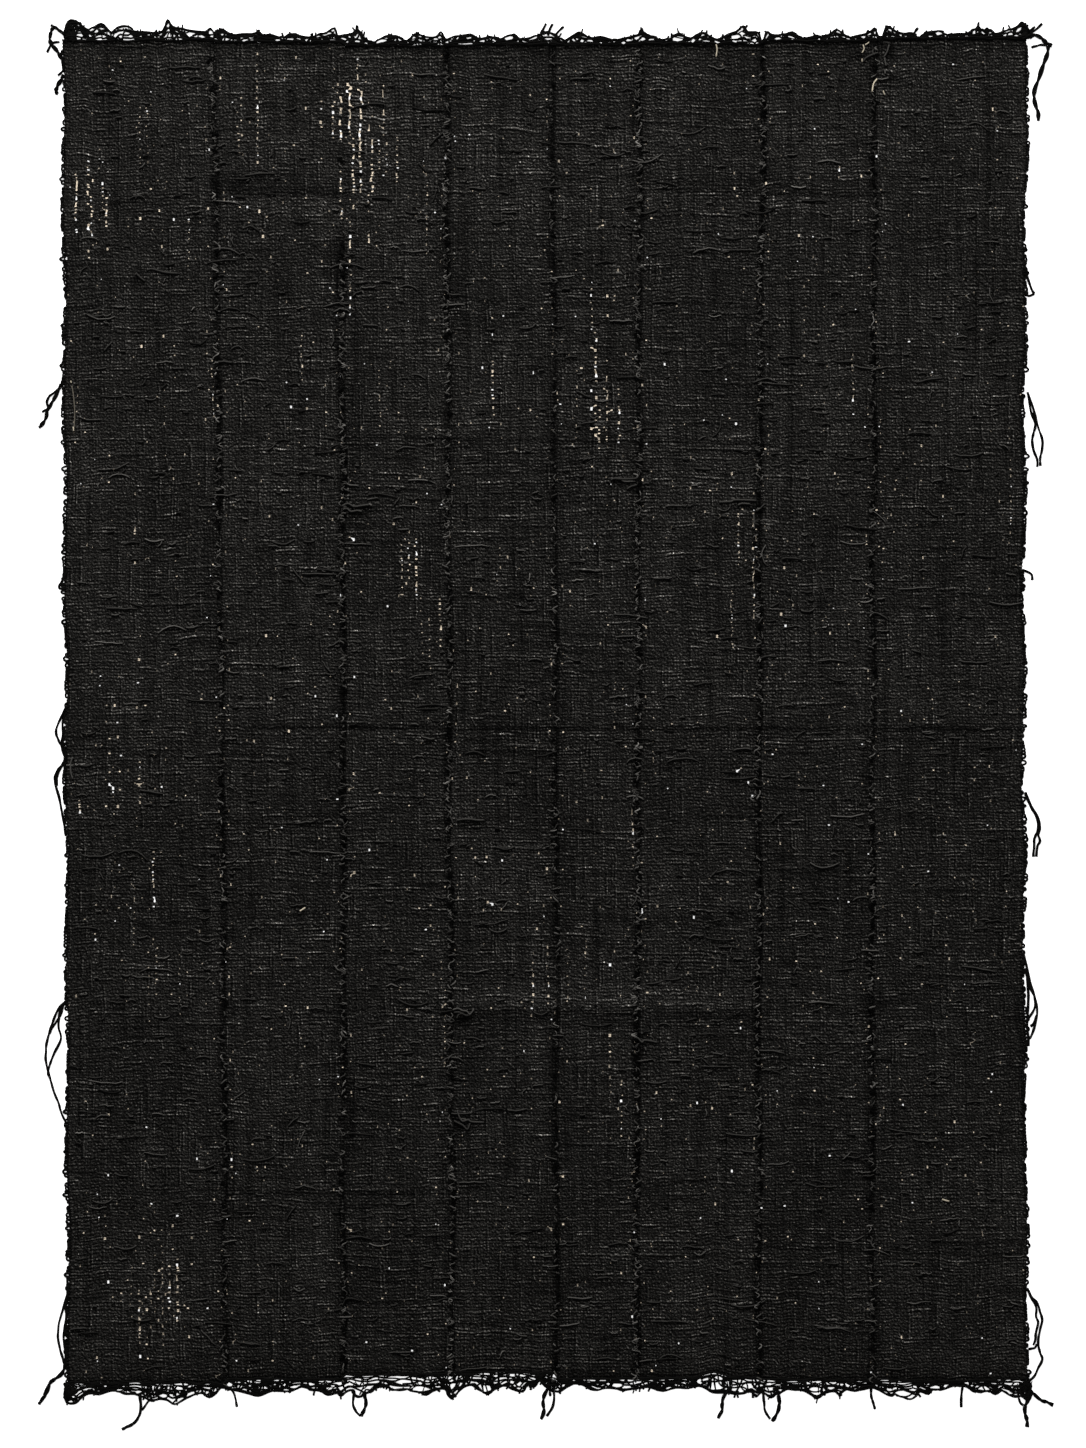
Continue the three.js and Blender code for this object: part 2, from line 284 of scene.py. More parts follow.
# Outer strands of the fringe, followed from left to right
UPPER_EDGE_STRAND = (
    (64, 34), (68, 22), (76, 21), (86, 29), (92, 29), (101, 25), (108, 30), (112, 34), (117, 28),
    (125, 26), (132, 29), (136, 36), (138, 32), (150, 33), (158, 33), (163, 31), (166, 27), (168, 20),
    (172, 26), (180, 29), (190, 31), (205, 32), (211, 33), (217, 32), (223, 30), (232, 35), (245, 36),
    (256, 33), (258, 32), (263, 35), (272, 35), (281, 38), (290, 35), (295, 34), (303, 37), (312, 38),
    (318, 35), (326, 33), (335, 28), (337, 38), (345, 37), (352, 34), (358, 30), (365, 39), (372, 43),
    (376, 42), (385, 38), (392, 36), (399, 37), (405, 43), (412, 37), (417, 34), (425, 37), (436, 37),
    (441, 32), (445, 41), (453, 37), (460, 36), (470, 35), (480, 39), (490, 37), (500, 40), (508, 36),
    (515, 35), (520, 39), (530, 38), (540, 35), (548, 33), (556, 35), (561, 41), (566, 41), (575, 36),
    (581, 34), (590, 38), (600, 38), (612, 40), (622, 39), (632, 37), (638, 35), (641, 32), (650, 36),
    (660, 40), (668, 40), (675, 35), (680, 34), (690, 39), (697, 36), (704, 33), (708, 36), (717, 40),
    (728, 35), (737, 32), (743, 26), (747, 33), (758, 33), (762, 44), (766, 33), (772, 35), (782, 35),
    (792, 33), (800, 38), (808, 39), (815, 36), (822, 37), (830, 34), (836, 30), (842, 33), (848, 38),
    (855, 37), (863, 35), (870, 32), (875, 29), (880, 43), (885, 29), (890, 28), (896, 32), (902, 34),
    (912, 33), (918, 39), (925, 35), (932, 32), (940, 32), (948, 35), (955, 34), (965, 34), (973, 31),
    (978, 27), (982, 30), (990, 31), (995, 34), (1005, 31), (1015, 28), (1022, 23), (1028, 29),
    (1032, 36),
)
LOWER_EDGE_STRAND = (
    (64, 1396), (68, 1403), (76, 1403), (82, 1397), (90, 1393), (100, 1394), (110, 1391), (118, 1391),
    (125, 1394), (135, 1394), (144, 1397), (152, 1401), (160, 1398), (168, 1400), (175, 1404),
    (185, 1399), (195, 1394), (203, 1393), (208, 1397), (215, 1393), (222, 1387), (232, 1390),
    (240, 1390), (250, 1392), (260, 1395), (270, 1391), (278, 1391), (290, 1391), (297, 1388),
    (303, 1386), (310, 1389), (320, 1391), (328, 1394), (336, 1392), (341, 1396), (347, 1391),
    (352, 1390), (356, 1395), (361, 1396), (367, 1393), (372, 1391), (378, 1387), (388, 1387),
    (392, 1390), (400, 1389), (412, 1389), (420, 1392), (426, 1395), (435, 1390), (445, 1389),
    (450, 1396), (455, 1396), (462, 1387), (472, 1385), (478, 1388), (487, 1394), (495, 1389),
    (505, 1385), (512, 1388), (522, 1391), (528, 1384), (534, 1386), (540, 1380), (546, 1386),
    (553, 1390), (560, 1391), (567, 1387), (575, 1383), (583, 1385), (590, 1389), (597, 1390),
    (605, 1388), (615, 1388), (622, 1390), (632, 1389), (640, 1388), (650, 1387), (663, 1391),
    (675, 1387), (688, 1388), (697, 1386), (703, 1387), (713, 1392), (725, 1392), (735, 1394),
    (745, 1393), (750, 1390), (756, 1396), (762, 1392), (770, 1396), (776, 1393), (780, 1393),
    (786, 1389), (795, 1390), (805, 1390), (812, 1395), (818, 1398), (825, 1393), (835, 1391),
    (840, 1394), (845, 1389), (855, 1391), (865, 1388), (874, 1388), (885, 1393), (892, 1396),
    (897, 1392), (903, 1397), (910, 1399), (916, 1396), (920, 1391), (928, 1393), (934, 1388),
    (940, 1390), (945, 1388), (955, 1385), (965, 1385), (972, 1390), (980, 1392), (988, 1390),
    (995, 1393), (1002, 1388), (1008, 1394), (1015, 1397), (1021, 1396), (1028, 1400), (1032, 1392),
)

# Where the lower end has drawn up above the fringe, in pixels, by so many millimetres
DrawnUp = namedtuple("DrawnUp", "px rise half_width")
DRAWN_UP = DrawnUp(714, 5, 14)

# Openings that show in the fringes: centre, half sizes and tilt
Opening = namedtuple("Opening", "px py half_width half_height tilt")
UPPER_OPENINGS = [Opening(*row) for row in (
    (81, 35, 2.8, 0.9, -0.7), (92, 30.5, 2.0, 1.2, 0.5), (97, 31.5, 1.2, 1.6, 0),
    (104, 38.5, 2.0, 1.2, -0.3), (109, 35, 3.2, 0.9, -1.1), (121, 37, 1.6, 1.1, 0),
    (141, 41.5, 3.0, 0.9, -0.8), (157, 40.5, 2.4, 1.1, 0), (168, 25, 1.2, 2.0, 0),
    (173, 36, 2.6, 1.3, 0.4), (181, 36, 1.6, 1.0, 0), (191, 34, 4.0, 1.3, 0.1),
    (190, 47, 0.9, 3.0, -0.15), (203, 41, 2.4, 1.2, -0.4), (211, 39, 1.7, 4.5, 0.3),
    (228, 41.5, 2.2, 1.3, 0.3), (251, 43, 2.4, 1.0, -0.6), (509, 38.5, 4.6, 1.8, 0.2),
    (533, 39, 4.6, 1.1, 0.45), (561, 43.5, 2.4, 1.3, 0), (581, 42, 2.8, 1.7, 0), (590, 42, 2.4, 1.6, 0),
    (651, 40, 4.0, 1.8, 0.5), (678, 39, 5.5, 2.2, 0.1), (762, 38, 1.0, 6.0, 0), (880, 38, 1.2, 6.0, 0),
)]
LOWER_OPENINGS = [Opening(*row) for row in (
    (105, 1382, 4.5, 1.1, 0), (125, 1383.5, 2.2, 1.2, 0), (155, 1386, 3.6, 1.3, 0),
    (163, 1395.5, 4.2, 1.6, 0), (178, 1388, 5.5, 1.3, -0.1), (190, 1383.5, 5.5, 0.8, 0.25),
    (199, 1391, 3.0, 1.1, 0.3), (215, 1389.5, 4.5, 1.7, 0.6), (230, 1383.5, 3.0, 2.0, 0.3),
    (240, 1386.5, 3.5, 1.3, -0.2), (283, 1385, 4.2, 2.4, 0.4), (688, 1382.5, 4.5, 1.0, 0.2),
    (700, 1380, 4.0, 2.4, 0.3), (706, 1379.5, 4.5, 1.4, 0.3), (717, 1376.0, 3.6, 2.0, 0.5),
    (716, 1387.5, 8.0, 1.8, 0), (727, 1381, 2.2, 4.0, 0.5), (768, 1381, 1.8, 3.4, -0.2),
    (770, 1389.5, 3.6, 1.2, 0), (815, 1389, 6.0, 1.8, 0), (828, 1383, 8.0, 1.1, 0),
    (312, 1382, 3.0, 1.8, 0), (329, 1389, 7.0, 1.8, 0.1), (352, 1383, 3.0, 2.0, 0.3),
    (420, 1388.5, 11.0, 2.2, 0), (460, 1385, 3.5, 2.0, 0.5), (486, 1388, 5.5, 2.6, 0),
    (505, 1383, 4.0, 1.6, 0), (600, 1384, 5.0, 1.6, 0), (617, 1385, 5.0, 2.0, 0),
    (865, 1384, 4.0, 1.0, 0), (903, 1393, 8.0, 2.4, 0), (935, 1387, 5.0, 1.4, 0),
    (960, 1382, 4.0, 1.0, 0), (985, 1388, 6.0, 1.8, 0), (1005, 1389, 4.0, 1.6, -0.3),
)]

# Threads that hang clear of the cloth: how many strands, how far apart, and the way they run
Thread = namedtuple("Thread", "strands spread route")
LOOSE_THREADS = (
    Thread(2, 1.0, ((66, 36), (60, 31), (56, 28), (51, 25))),
    Thread(2, 1.8, ((53, 28), (51, 33), (50, 40), (52, 45), (57, 51), (60, 56), (63, 62), (64, 72))),
    Thread(1, 0, ((60, 42), (54, 43), (50, 47), (47, 53))),
    Thread(1, 0, ((64, 70), (60, 74), (58, 76))),
    Thread(2, 2.0, ((64, 75), (60, 82), (57, 88), (56, 92), (58, 94))),
    Thread(2, 1.4, ((62, 384), (57, 394), (52, 403), (48, 410), (46, 418), (42, 425), (39, 428))),
    Thread(1, 0, ((61, 387), (54, 393), (49, 397), (47, 402), (48, 408), (46, 410), (42, 412))),
    Thread(1, 0, ((68, 570), (63, 580), (59, 588), (66, 589))),
    Thread(1, 0, ((67, 706), (62, 716), (58, 725), (56, 733), (59, 741), (62, 746), (64, 754),
                  (66, 759), (62, 765), (58, 770), (55, 777), (56, 786), (59, 796), (61, 806),
                  (63, 816), (65, 828), (66, 836))),
    Thread(1, 0, ((67, 712), (63, 722), (63, 735), (62, 742), (64, 748), (66, 756), (64, 762),
                  (60, 770), (57, 778), (57, 786))),
    Thread(1, 0, ((63, 733), (67, 732), (73, 731))),
    Thread(1, 0, ((67, 1000), (60, 1007), (56, 1014), (53, 1022), (50, 1030), (47, 1042),
                  (46, 1052), (46, 1060), (48, 1070), (50, 1078), (54, 1092), (59, 1104),
                  (62, 1114), (66, 1122))),
    Thread(1, 0, ((65, 1003), (60, 1012), (59, 1020), (59, 1028), (61, 1038), (57, 1048),
                  (53, 1056), (50, 1064), (48, 1072), (50, 1078))),
    Thread(1, 0, ((63, 1006), (61, 1014), (57, 1021), (52, 1028), (50, 1034))),
    Thread(1, 0, ((69, 1285), (66, 1300), (62, 1312), (59, 1324), (58, 1336), (60, 1348),
                  (63, 1358), (65, 1366))),
    Thread(1, 0, ((68, 1290), (66, 1304), (66, 1320), (64, 1332), (64, 1342), (66, 1354), (66, 1366))),
    Thread(2, 1.8, ((66, 1364), (62, 1373), (55, 1379), (50, 1383), (47, 1392), (42, 1400),
                    (39, 1404))),
    Thread(1, 0, ((56, 1378), (50, 1384), (46, 1390), (44, 1395))),
    Thread(2, 2.0, ((1022, 38), (1030, 36), (1036, 35.5), (1042, 39), (1046, 43), (1052, 46))),
    Thread(1, 0, ((1031, 48), (1035, 46.5), (1041, 45), (1047, 46))),
    Thread(2, 2.2, ((1048, 46), (1047, 55), (1043, 66), (1038, 80), (1034, 93), (1035, 104),
                    (1038, 113), (1038, 121))),
    Thread(1, 0, ((1024, 36), (1034, 31), (1042, 24))),
    Thread(1, 0, ((1024, 34), (1030, 31), (1035, 27))),
    Thread(1, 0, ((1014, 32), (1018, 27), (1022, 22))),
    Thread(1, 0, ((1025, 268), (1028, 280), (1031, 288), (1034, 294))),
    Thread(1, 0, ((1034, 294), (1029, 296), (1024, 294))),
    Thread(1, 0, ((1027, 392), (1033, 408), (1036, 420), (1039, 430), (1042, 440), (1042, 450),
                  (1040, 458), (1040, 466))),
    Thread(1, 0, ((1028, 396), (1031, 412), (1035, 424), (1033, 434), (1032, 442), (1034, 452),
                  (1037, 460), (1037, 467))),
    Thread(1, 0, ((1022, 570), (1031, 574), (1032, 580))),
    Thread(1, 0, ((1025, 792), (1030, 804), (1035, 812), (1039, 820), (1040, 828), (1038, 835),
                  (1040, 841), (1037, 847), (1036, 857))),
    Thread(1, 0, ((1025, 794), (1031, 807), (1036, 816), (1038, 824), (1037, 832), (1034, 840),
                  (1034, 848), (1033, 857))),
    Thread(1, 0, ((1023, 952), (1027, 968), (1030, 982), (1033, 992), (1036, 1002), (1037, 1012),
                  (1036, 1018), (1034, 1028), (1031, 1036), (1029, 1039))),
    Thread(1, 0, ((1025, 968), (1029, 985), (1034, 996), (1035, 1004), (1033, 1011), (1030, 1016),
                  (1027, 1020))),
    Thread(1, 0, ((1027, 978), (1028, 992), (1028, 1008), (1027, 1024), (1028, 1036), (1028, 1046))),
    Thread(1, 0, ((1036, 1016), (1033, 1024), (1030, 1026))),
    Thread(1, 0, ((1027, 1288), (1032, 1297), (1037, 1303), (1040, 1312), (1042, 1320),
                  (1040, 1330), (1038, 1342), (1040, 1352), (1042, 1359), (1038, 1368),
                  (1034, 1376), (1028, 1382))),
    Thread(1, 0, ((1029, 1294), (1036, 1306), (1036, 1316), (1038, 1322), (1036, 1332),
                  (1035, 1340), (1033, 1345))),
    Thread(1, 0, ((1028, 1349), (1034, 1348), (1037, 1344))),
    Thread(2, 1.4, ((1026, 1383), (1030, 1390), (1035, 1395), (1041, 1400), (1047, 1402),
                    (1053, 1405))),
    Thread(2, 1.8, ((1025, 1389), (1028, 1398), (1025, 1406), (1025, 1414), (1027, 1420),
                    (1027, 1427))),
    Thread(1, 0, ((1018, 1394), (1020, 1402), (1023, 1405))),
    Thread(2, 0.8, ((140, 1394), (141, 1408), (138, 1418), (133, 1424), (127, 1427), (122, 1429))),
    Thread(1, 0, ((152, 1398), (147, 1403), (142, 1410))),
    Thread(1, 0, ((226, 1387), (232, 1390), (235, 1396), (237, 1407))),
    Thread(1, 0, ((354, 1392), (353, 1403), (356, 1411), (361, 1416))),
    Thread(2, 1.4, ((364, 1391), (366, 1402), (364, 1410), (361, 1416))),
    Thread(1, 0, ((447, 1388), (448, 1394), (452, 1399))),
    Thread(1, 0, ((449, 1386), (452, 1392), (456, 1397))),
    Thread(1, 0, ((531, 1382), (531, 1387), (531, 1390))),
    Thread(2, 1.6, ((550, 1384), (545, 1394), (543, 1402), (544, 1410), (541, 1419))),
    Thread(1, 0, ((550, 1386), (550, 1391), (550, 1396))),
    Thread(1, 0, ((553, 1386), (554, 1398), (552, 1408), (547, 1416))),
    Thread(1, 0, ((561, 1384), (561, 1388), (561, 1391))),
    Thread(2, 1.6, ((731, 1386), (724, 1396), (722, 1404), (722, 1410), (718, 1418))),
    Thread(1, 0, ((754, 1390), (753, 1394), (753, 1398))),
    Thread(1, 0, ((763, 1390), (764, 1402), (765, 1410), (770, 1419))),
    Thread(2, 1.6, ((776, 1386), (779, 1398), (779, 1406), (776, 1415), (772, 1421))),
    Thread(1, 0, ((871, 1384), (871, 1395), (873, 1402), (875, 1409))),
    Thread(1, 0, ((963, 1383), (961, 1396), (961, 1407))),
    Thread(1, 0, ((966, 1384), (971, 1390), (976, 1392))),
    Thread(1, 0, ((540, 36), (543, 30), (546, 23.5))),
    Thread(1, 0, ((548, 36), (550, 29), (553, 24))),
    Thread(1, 0, ((554, 37), (559, 31), (564, 27))),
    Thread(1, 0, ((872, 36), (873, 32), (875, 28))),
    Thread(1, 0, ((884, 36), (886, 29), (890, 27), (893, 31))),
    Thread(1, 0, ((912, 38), (914, 33), (918, 28))),
)

# Snags on the face, with how light each is, partly a painted highlight, and the way it runs; and painted
# shadows beside them
Snag = namedtuple("Snag", "tone route")
SNAGS = (
    Snag(4, ((342, 506), (348, 503.5), (354, 506.5), (362, 505.5), (370, 504.5))),
    Snag(4, ((343, 509.5), (347, 508.5), (351, 511.5), (357, 510.5), (362, 511.5))),
    Snag(4, ((338, 520), (340, 515), (343, 513), (346, 513.5))),
    Snag(9, ((369, 504), (370.5, 504.5), (371.5, 505.5))),
    Snag(3, ((611, 480), (614, 478.5), (623, 479), (635, 478.5), (638, 477))),
    Snag(3, ((627, 489), (631, 486.5), (637, 484.5), (637, 481))),
    Snag(3, ((643, 484), (646, 483), (649, 483.5))),
    Snag(4, ((719, 502), (731, 501.5), (734, 500), (745, 500), (756, 500.5))),
    Snag(4, ((738, 505), (742, 503.5), (750, 504))),
    Snag(5, ((753.5, 514), (754, 520), (754, 529))),
    Snag(4, ((457, 820), (464, 819), (470, 819), (478, 820), (484, 820))),
    Snag(3, ((450, 816), (452, 820), (453, 823))),
    Snag(6, ((453, 1009.5), (458, 1008), (462, 1010), (467, 1011), (470, 1014), (474, 1009))),
    Snag(3, ((454, 1012), (460, 1012), (466, 1015), (471, 1014))),
    Snag(3, ((457, 1018), (459, 1014), (464, 1013))),
    Snag(4, ((457, 1110.5), (458.5, 1114), (460, 1118), (463, 1121), (468, 1119.5), (472, 1121.5),
             (484, 1122))),
    Snag(3, ((454, 1120.5), (459, 1123), (463, 1125), (467.5, 1129), (470, 1123))),
    Snag(4, ((634, 1037), (638, 1038), (642, 1042), (644, 1040), (650, 1040.5), (657, 1042))),
    Snag(5, ((645, 1047), (646, 1050))),
    Snag(3, ((136, 273), (140, 277), (145, 281))),
    Snag(5, ((73, 757), (71, 763), (71, 772), (73, 779))),
    Snag(3, ((147, 270), (152, 269), (158, 270.5), (166, 272.5), (178, 273.5))),
    Snag(4, ((889, 45), (887, 52), (884, 57))),
    Snag(5, ((884.5, 58), (885, 62), (886, 66))),
    Snag(6, ((885, 70), (885, 74))),
    Snag(3, ((863, 62), (866, 58), (874, 54), (878, 53))),
)
SnagShadow = namedtuple("SnagShadow", "px py half_width half_height")
SNAG_SHADOWS = [SnagShadow(*row) for row in (
    (354, 516, 8, 4), (362, 509, 11, 2.5), (620, 483, 12, 2.5), (637, 488, 6, 4), (745, 507, 8, 2),
    (759, 508, 4, 6), (474, 825, 12, 4), (463, 1022, 9, 4), (466, 1013, 2, 2), (461, 1128, 7, 5),
    (457, 1117, 3, 3), (300, 915, 4, 3), (642, 1052, 5, 6), (643, 1036, 4, 2), (139, 270, 2.5, 5),
    (138, 281, 5, 4), (860, 56, 8, 3), (890, 54, 6, 8), (892, 80, 9, 4),
)]

# Undyed yarn that shows on the face
UNDYED_YARNS = (
    Snag(0.9, ((716, 44), (717, 50), (716, 57))),
    Snag(0.2, ((72, 386), (73.5, 394), (74.5, 404), (75, 416), (74, 431))),
    Snag(1.0, ((71, 381), (71.5, 383))),
    Snag(1.0, ((73.5, 427), (74, 431))),
    Snag(0.9, ((863, 45), (864, 49), (862, 53))),
    Snag(0.8, ((865, 45), (867, 44), (869, 42.5))),
    Snag(0.8, ((862, 59), (862, 62))),
    Snag(1.1, ((877, 79), (873.5, 84), (872, 92))),
    Snag(0.9, ((883, 91), (884.5, 95))),
    Snag(1.2, ((300, 911), (303, 909), (305.5, 907.5))),
    Snag(0.9, ((942, 1199), (945, 1200), (949, 1201))),
)

# A value at no strength, and what it gains for each unit of strength
ByStrength = namedtuple("ByStrength", "least gain")

# How the strands are spun and laid
YARN_ROUNDNESS = 1
FLAT_YARN = 0
PATH_STEPS = 4
CAP_MERGE = 0.001
FACE_HEIGHT = 2.0
SHADOW_TONE = 0.1
SNAG_THICKNESS = 1.5
SNAG_LIFT = 0.9
UNDYED_THICKNESS = (1.0, 1.4)
SLACK_WEFTS = 1500
SLACK_SHADE = (0, 1.3, 0.3)
SLACK_LEFT_RIGHT = (-522, 522)
SLACK_LOWER_UPPER = (-715, 740)

# The fringes, with the lower one's value first in a pair
STREWN_OPENINGS = (85, 130)
STREWN_ROOM = (0.22, 0.36)
STREWN_TILT = (0.2, 0.8)
FRINGE_ENDS = (110, 230)
FRINGE_TANGLES = 130
FRINGE_ARCHES = 60
FRINGE_STEP = 5.5
END_BAND = 2.0
CORNER_STRANDS = 10
CORNER_WIDTH = 15
UPPER_LEVELS = (-0.05, 0.12, 0.3, 0.5, 0.7, 0.9)
LOWER_LEVELS = (-0.12, -0.04, 0.04, 0.14, 0.3, 0.46, 0.62, 0.78, 0.92)

# What each stitch of a seam is drawn from: a least and a greatest value, or a mean and a spread
STITCH_OFFSET = (-1.5, 1.4)
STITCH_REACH = (0.2, 0.9)
STITCH_RISE = (1.5, 7.0)
STITCH_TURN = (0.4, 0.95)
STITCH_ARCH = (0.6, 1.8)
STITCH_THICKNESS = (0.5, 1.1)
# The lit stitches are lighter than the yarn, as a painted highlight
STITCH_TONE = (1.8, 0.5)
STITCH_JITTER = 0.3
STITCH_POINTS = 7
STITCH_TAPER = 0.45
STITCH_BLUNTNESS = 0.6
STITCH_LEAST_STEP = 0.1
STITCH_STEP = 0.5
SEAM_START = 4
SEAM_STOP = 8
# The share of stitches that are lit yarn; the rest are thicker dark strands, painted shadows
LIGHT_STITCHES = 0.75
LIGHT_STITCH_LIFT = 0.6
STITCH_SHADOW_THICKNESS = 1.7

# What each loop of a selvedge is drawn from
LOOP_START = 4
LOOP_CELL = 2.6
LOOP_MISSING = 0.2
LOOP_OUT = 1.1
LOOP_WAVER = 1.5
LOOP_JITTER = 0.4
LOOP_LEAST = 0.2
LOOP_INSIDE = 2.0
LOOP_SPAN = (0.35, 0.8)
LOOP_THICKNESS = (1.1, 1.6)
LOOP_TONE = (0.15, 0.6)
LONG_LOOPS = 0.1
LONG_LOOP_OUT = (0.8, 3.2)

# What the strands of a fringe and its strewn openings are drawn from
STRAND_THICKNESS = (0.65, 1.1)
STRAND_TONE = (0.12, 0.45)
STRAND_HEIGHT = 1.5
STRAND_OVERLAP = 1.2
STREWN_WIDTH = (1.5, 4.0)
STREWN_HEIGHT = (0.7, 1.6)
STREWN_DEPTH = (0.25, 0.75)
STREWN_CLEARANCE = 3
STREWN_MARGIN = 8
STREWN_JITTER = 0.3
OPENING_REACH = 8
OPENING_MIDDLE = 0.05
STRAND_CLEARANCE = 1.05
OUTER_SHAKES = (0, 0.9)
LEVEL_WAVER = ByStrength(0.09, 0.2)
LEVEL_CELL = 1.8
LEVEL_BOUNDS = (-0.2, 1)
TANGLE_ROOM = 20
TANGLE_POINTS = (4, 7)
TANGLE_STEP = (2.4, 4.5)
TANGLE_SHARE = (0, 0.98)
CORNER_POINTS = 5
CORNER_SHARE = (-0.1, 1)
ARCH_ROOM = 30
ARCH_JITTER = 0.8
ARCH_WIDTH = (8, 26)
ARCH_HEIGHT = (0.6, 1.02)
ARCH_STATIONS = np.array([0, 0.2, 0.5, 0.8, 1])
ARCH_RISE = np.array([-0.1, 0.6, 1, 0.6, -0.1])
END_LENGTHS = (1.2, 2.4, 4.5)
END_CHANCES = (0.45, 0.4, 0.15)
END_LEAN = 1.2
END_JITTER = 0.7

# What the loose threads and the slack wefts are drawn from
LOOSE_HEIGHT = 1.7
LOOSE_TONE = (0.1, 0.35)
LOOSE_TURNS = 0.35
LOOSE_STEPS = 5
LOOSE_OVERLAP = 0.7
SLACK_LEAST_LENGTH = 4
SLACK_LENGTH = 9
SLACK_MOST_LENGTH = 34
SLACK_HEADING = (0, 0.10)
SLACK_CURL = (0, 0.09)
SLACK_WARPS = 0.22
SLACK_WARP_LENGTH = 0.6
SLACK_THICKNESS = (0.7, 1.2)
# Slack yarn is lighter than the cloth, partly as a painted highlight
SLACK_TONE = (1.35, 0.5)
SLACK_POINTS = 6
SLACK_JITTER = 0.35
SLACK_LIFT = 0.2
SLACK_ARCH = 0.9
SLACK_SHADE_WIDTH = 1.2

# What each pinhole is drawn from
PINHOLE_TALL = ByStrength(0.15, 0.3)
PINHOLE_OPEN = ByStrength(0.03, 0.22)
PINHOLE_BARE = ByStrength(0.5, 0.75)
PINHOLE_BARENESS = (0.3, 1.15)
PINHOLE_DRAW = (0.72, 0.87)
PINHOLE_DRAW_LOSS = 0.3
PINHOLE_DRAW_UPRIGHT = 0.5
PINHOLE_NUDGE = (0, 0.5)
STREWN_STRENGTH = 0.85
STREWN_RARITY = 2.5
LADDER_STRENGTH = (0.6, 1.8)
LADDER_JITTER = 0.2
LADDER_MISSING = 0.06
LADDER_SWAY = (0, 0.4)

# How fine and how strong the fibre of a yarn is, and how it shines
YarnLook = namedtuple("YarnLook", "fineness spread specular sheen")
DYED_LOOK = YarnLook(900, 1.0, 0.03, 0)
UNDYED_LOOK = YarnLook(1100, 0.5, 0.2, 0.05)
Bump = namedtuple("Bump", "strength distance")
YARN_BUMP = Bump(0.5, 0.4 * MM)
YARN_ROUGHNESS = 0.85
YARN_SHEEN_ROUGHNESS = 0.6

# The woven cloth's look: its fibre, the weave's own unevenness and relief, and its painted light and shade
CLOTH_BUMP = Bump(0.8, 0.8 * MM)
CLOTH_SPECULAR = 0.02
CLOTH_FINENESS = 600
CLOTH_SPREAD = 0.9
WEAVE_UNEVENNESS = 0.6
WEAVE_PAINTED_EMBOSS = 9
WARPS_PER_COLUMN = 1.2
YARN_SHADE_DROP = 0.5
YARN_SHADE_SLANT = 0.4
YARN_SHADE_SCALE = (1.5, 1.5, 1)
YARN_SHADE_ROUGHNESS = 0.7
WANDER_SCALE = 0.45
WANDER_REACH = (0.7, 0.35, 0)
WEFT_SHARPNESS = 1.5
WEFT_DIP = 0.4
WARP_HEIGHT = 0.7
WEFT_UNDER_WARP = 0.45
# The tone follows the weave's height, as painted shade where yarns lie low
WEAVE_CONTRAST = 1.2
WEAVE_DARKEST = 0.25

# Runs of proud yarn, painted light on one side and shade on the other: how many yarns long, how rare and
# how strong
Run = namedtuple("Run", "reach rarity contrast")
WEFT_RUN = Run(7, 0.82, 1.7)
WARP_RUN = Run(9, 0.82, 1.4)
RUN_TAPER = 5

# The stage, in metres, with its soft light and its camera
CAMERA_LENS = 135
CAMERA_SENSOR = 36
CAMERA_AIM_PX = 543
CAMERA_AIM_PY = 724
FLOOR_HALF = 30
FLOOR_GLOW = 0.8
FLOOR_ROUGHNESS = 0.9
FLOOR_SPECULAR = 0.1
WORLD_STRENGTH = 0.45
LIGHT_PLACE = (-0.8, 4.0, 2.7)
LIGHT_SIZE = 1.6
LIGHT_ENERGY = 300
WHITE = (1, 1, 1, 1)


def in_mm(length):
    """A property's length, which Blender keeps in metres, in millimetres."""
    return length / MM


def on_cloth(px, py):
    """The place on the cloth, in millimetres, of a pixel of the photograph."""
    return (px - ORIGIN_PX) * MM_PER_PX, (ORIGIN_PY - py) * MM_PER_PX


def smoothstep(t):
    """Ease from 0 to 1, flat at both ends."""
    t = np.clip(t, 0, 1)
    return t * t * (3 - 2 * t)


def bell(distance, width):
    """A bump of height 1 at no distance, which fades over width."""
    return np.exp(-((distance / width) ** 2))


def lattice_noise(rng, rows, columns, row_cell, column_cell):
    """Smooth noise from -1 to 1 over a grid, with one random value for every cell of it."""
    shape = (int(rows / row_cell) + 2, int(columns / column_cell) + 2)
    coarse = rng.uniform(-1, 1, shape)
    row_at = np.arange(rows) / row_cell
    column_at = np.arange(columns) / column_cell
    row = row_at.astype(int)
    column = column_at.astype(int)
    row_mix = smoothstep(row_at - row)[:, None]
    column_mix = smoothstep(column_at - column)[None, :]
    near = coarse[row][:, column] * (1 - column_mix) + coarse[row][:, column + 1] * column_mix
    far = coarse[row + 1][:, column] * (1 - column_mix) + coarse[row + 1][:, column + 1] * column_mix
    return near * (1 - row_mix) + far * row_mix


def line_noise(rng, count, cell):
    """Smooth noise from -1 to 1 along a line of points, with one random value for every cell of it."""
    return lattice_noise(rng, count, 1, cell, 1)[:, 0]


def rippled(rng, count, ripple):
    """A ripple along a line of points."""
    return ripple.size * line_noise(rng, count, ripple.cell)


def edge_at(edge, y):
    """Where a long edge or seam runs at y, straight between its stations."""
    first = math.floor(-HALF_LENGTH * STATION_REACH / STATION_SPACING)
    stations = STATION_SPACING * np.arange(first, -first + 1)
    t = stations / HALF_LENGTH
    slant = (edge.upper - edge.lower) / 2
    bow = (edge.upper + edge.lower) / 2 - edge.middle
    waver = edge.waver * np.sin(2 * np.pi * stations / edge.wave)
    return np.interp(y, stations, edge.middle + slant * t + bow * t * t + waver)


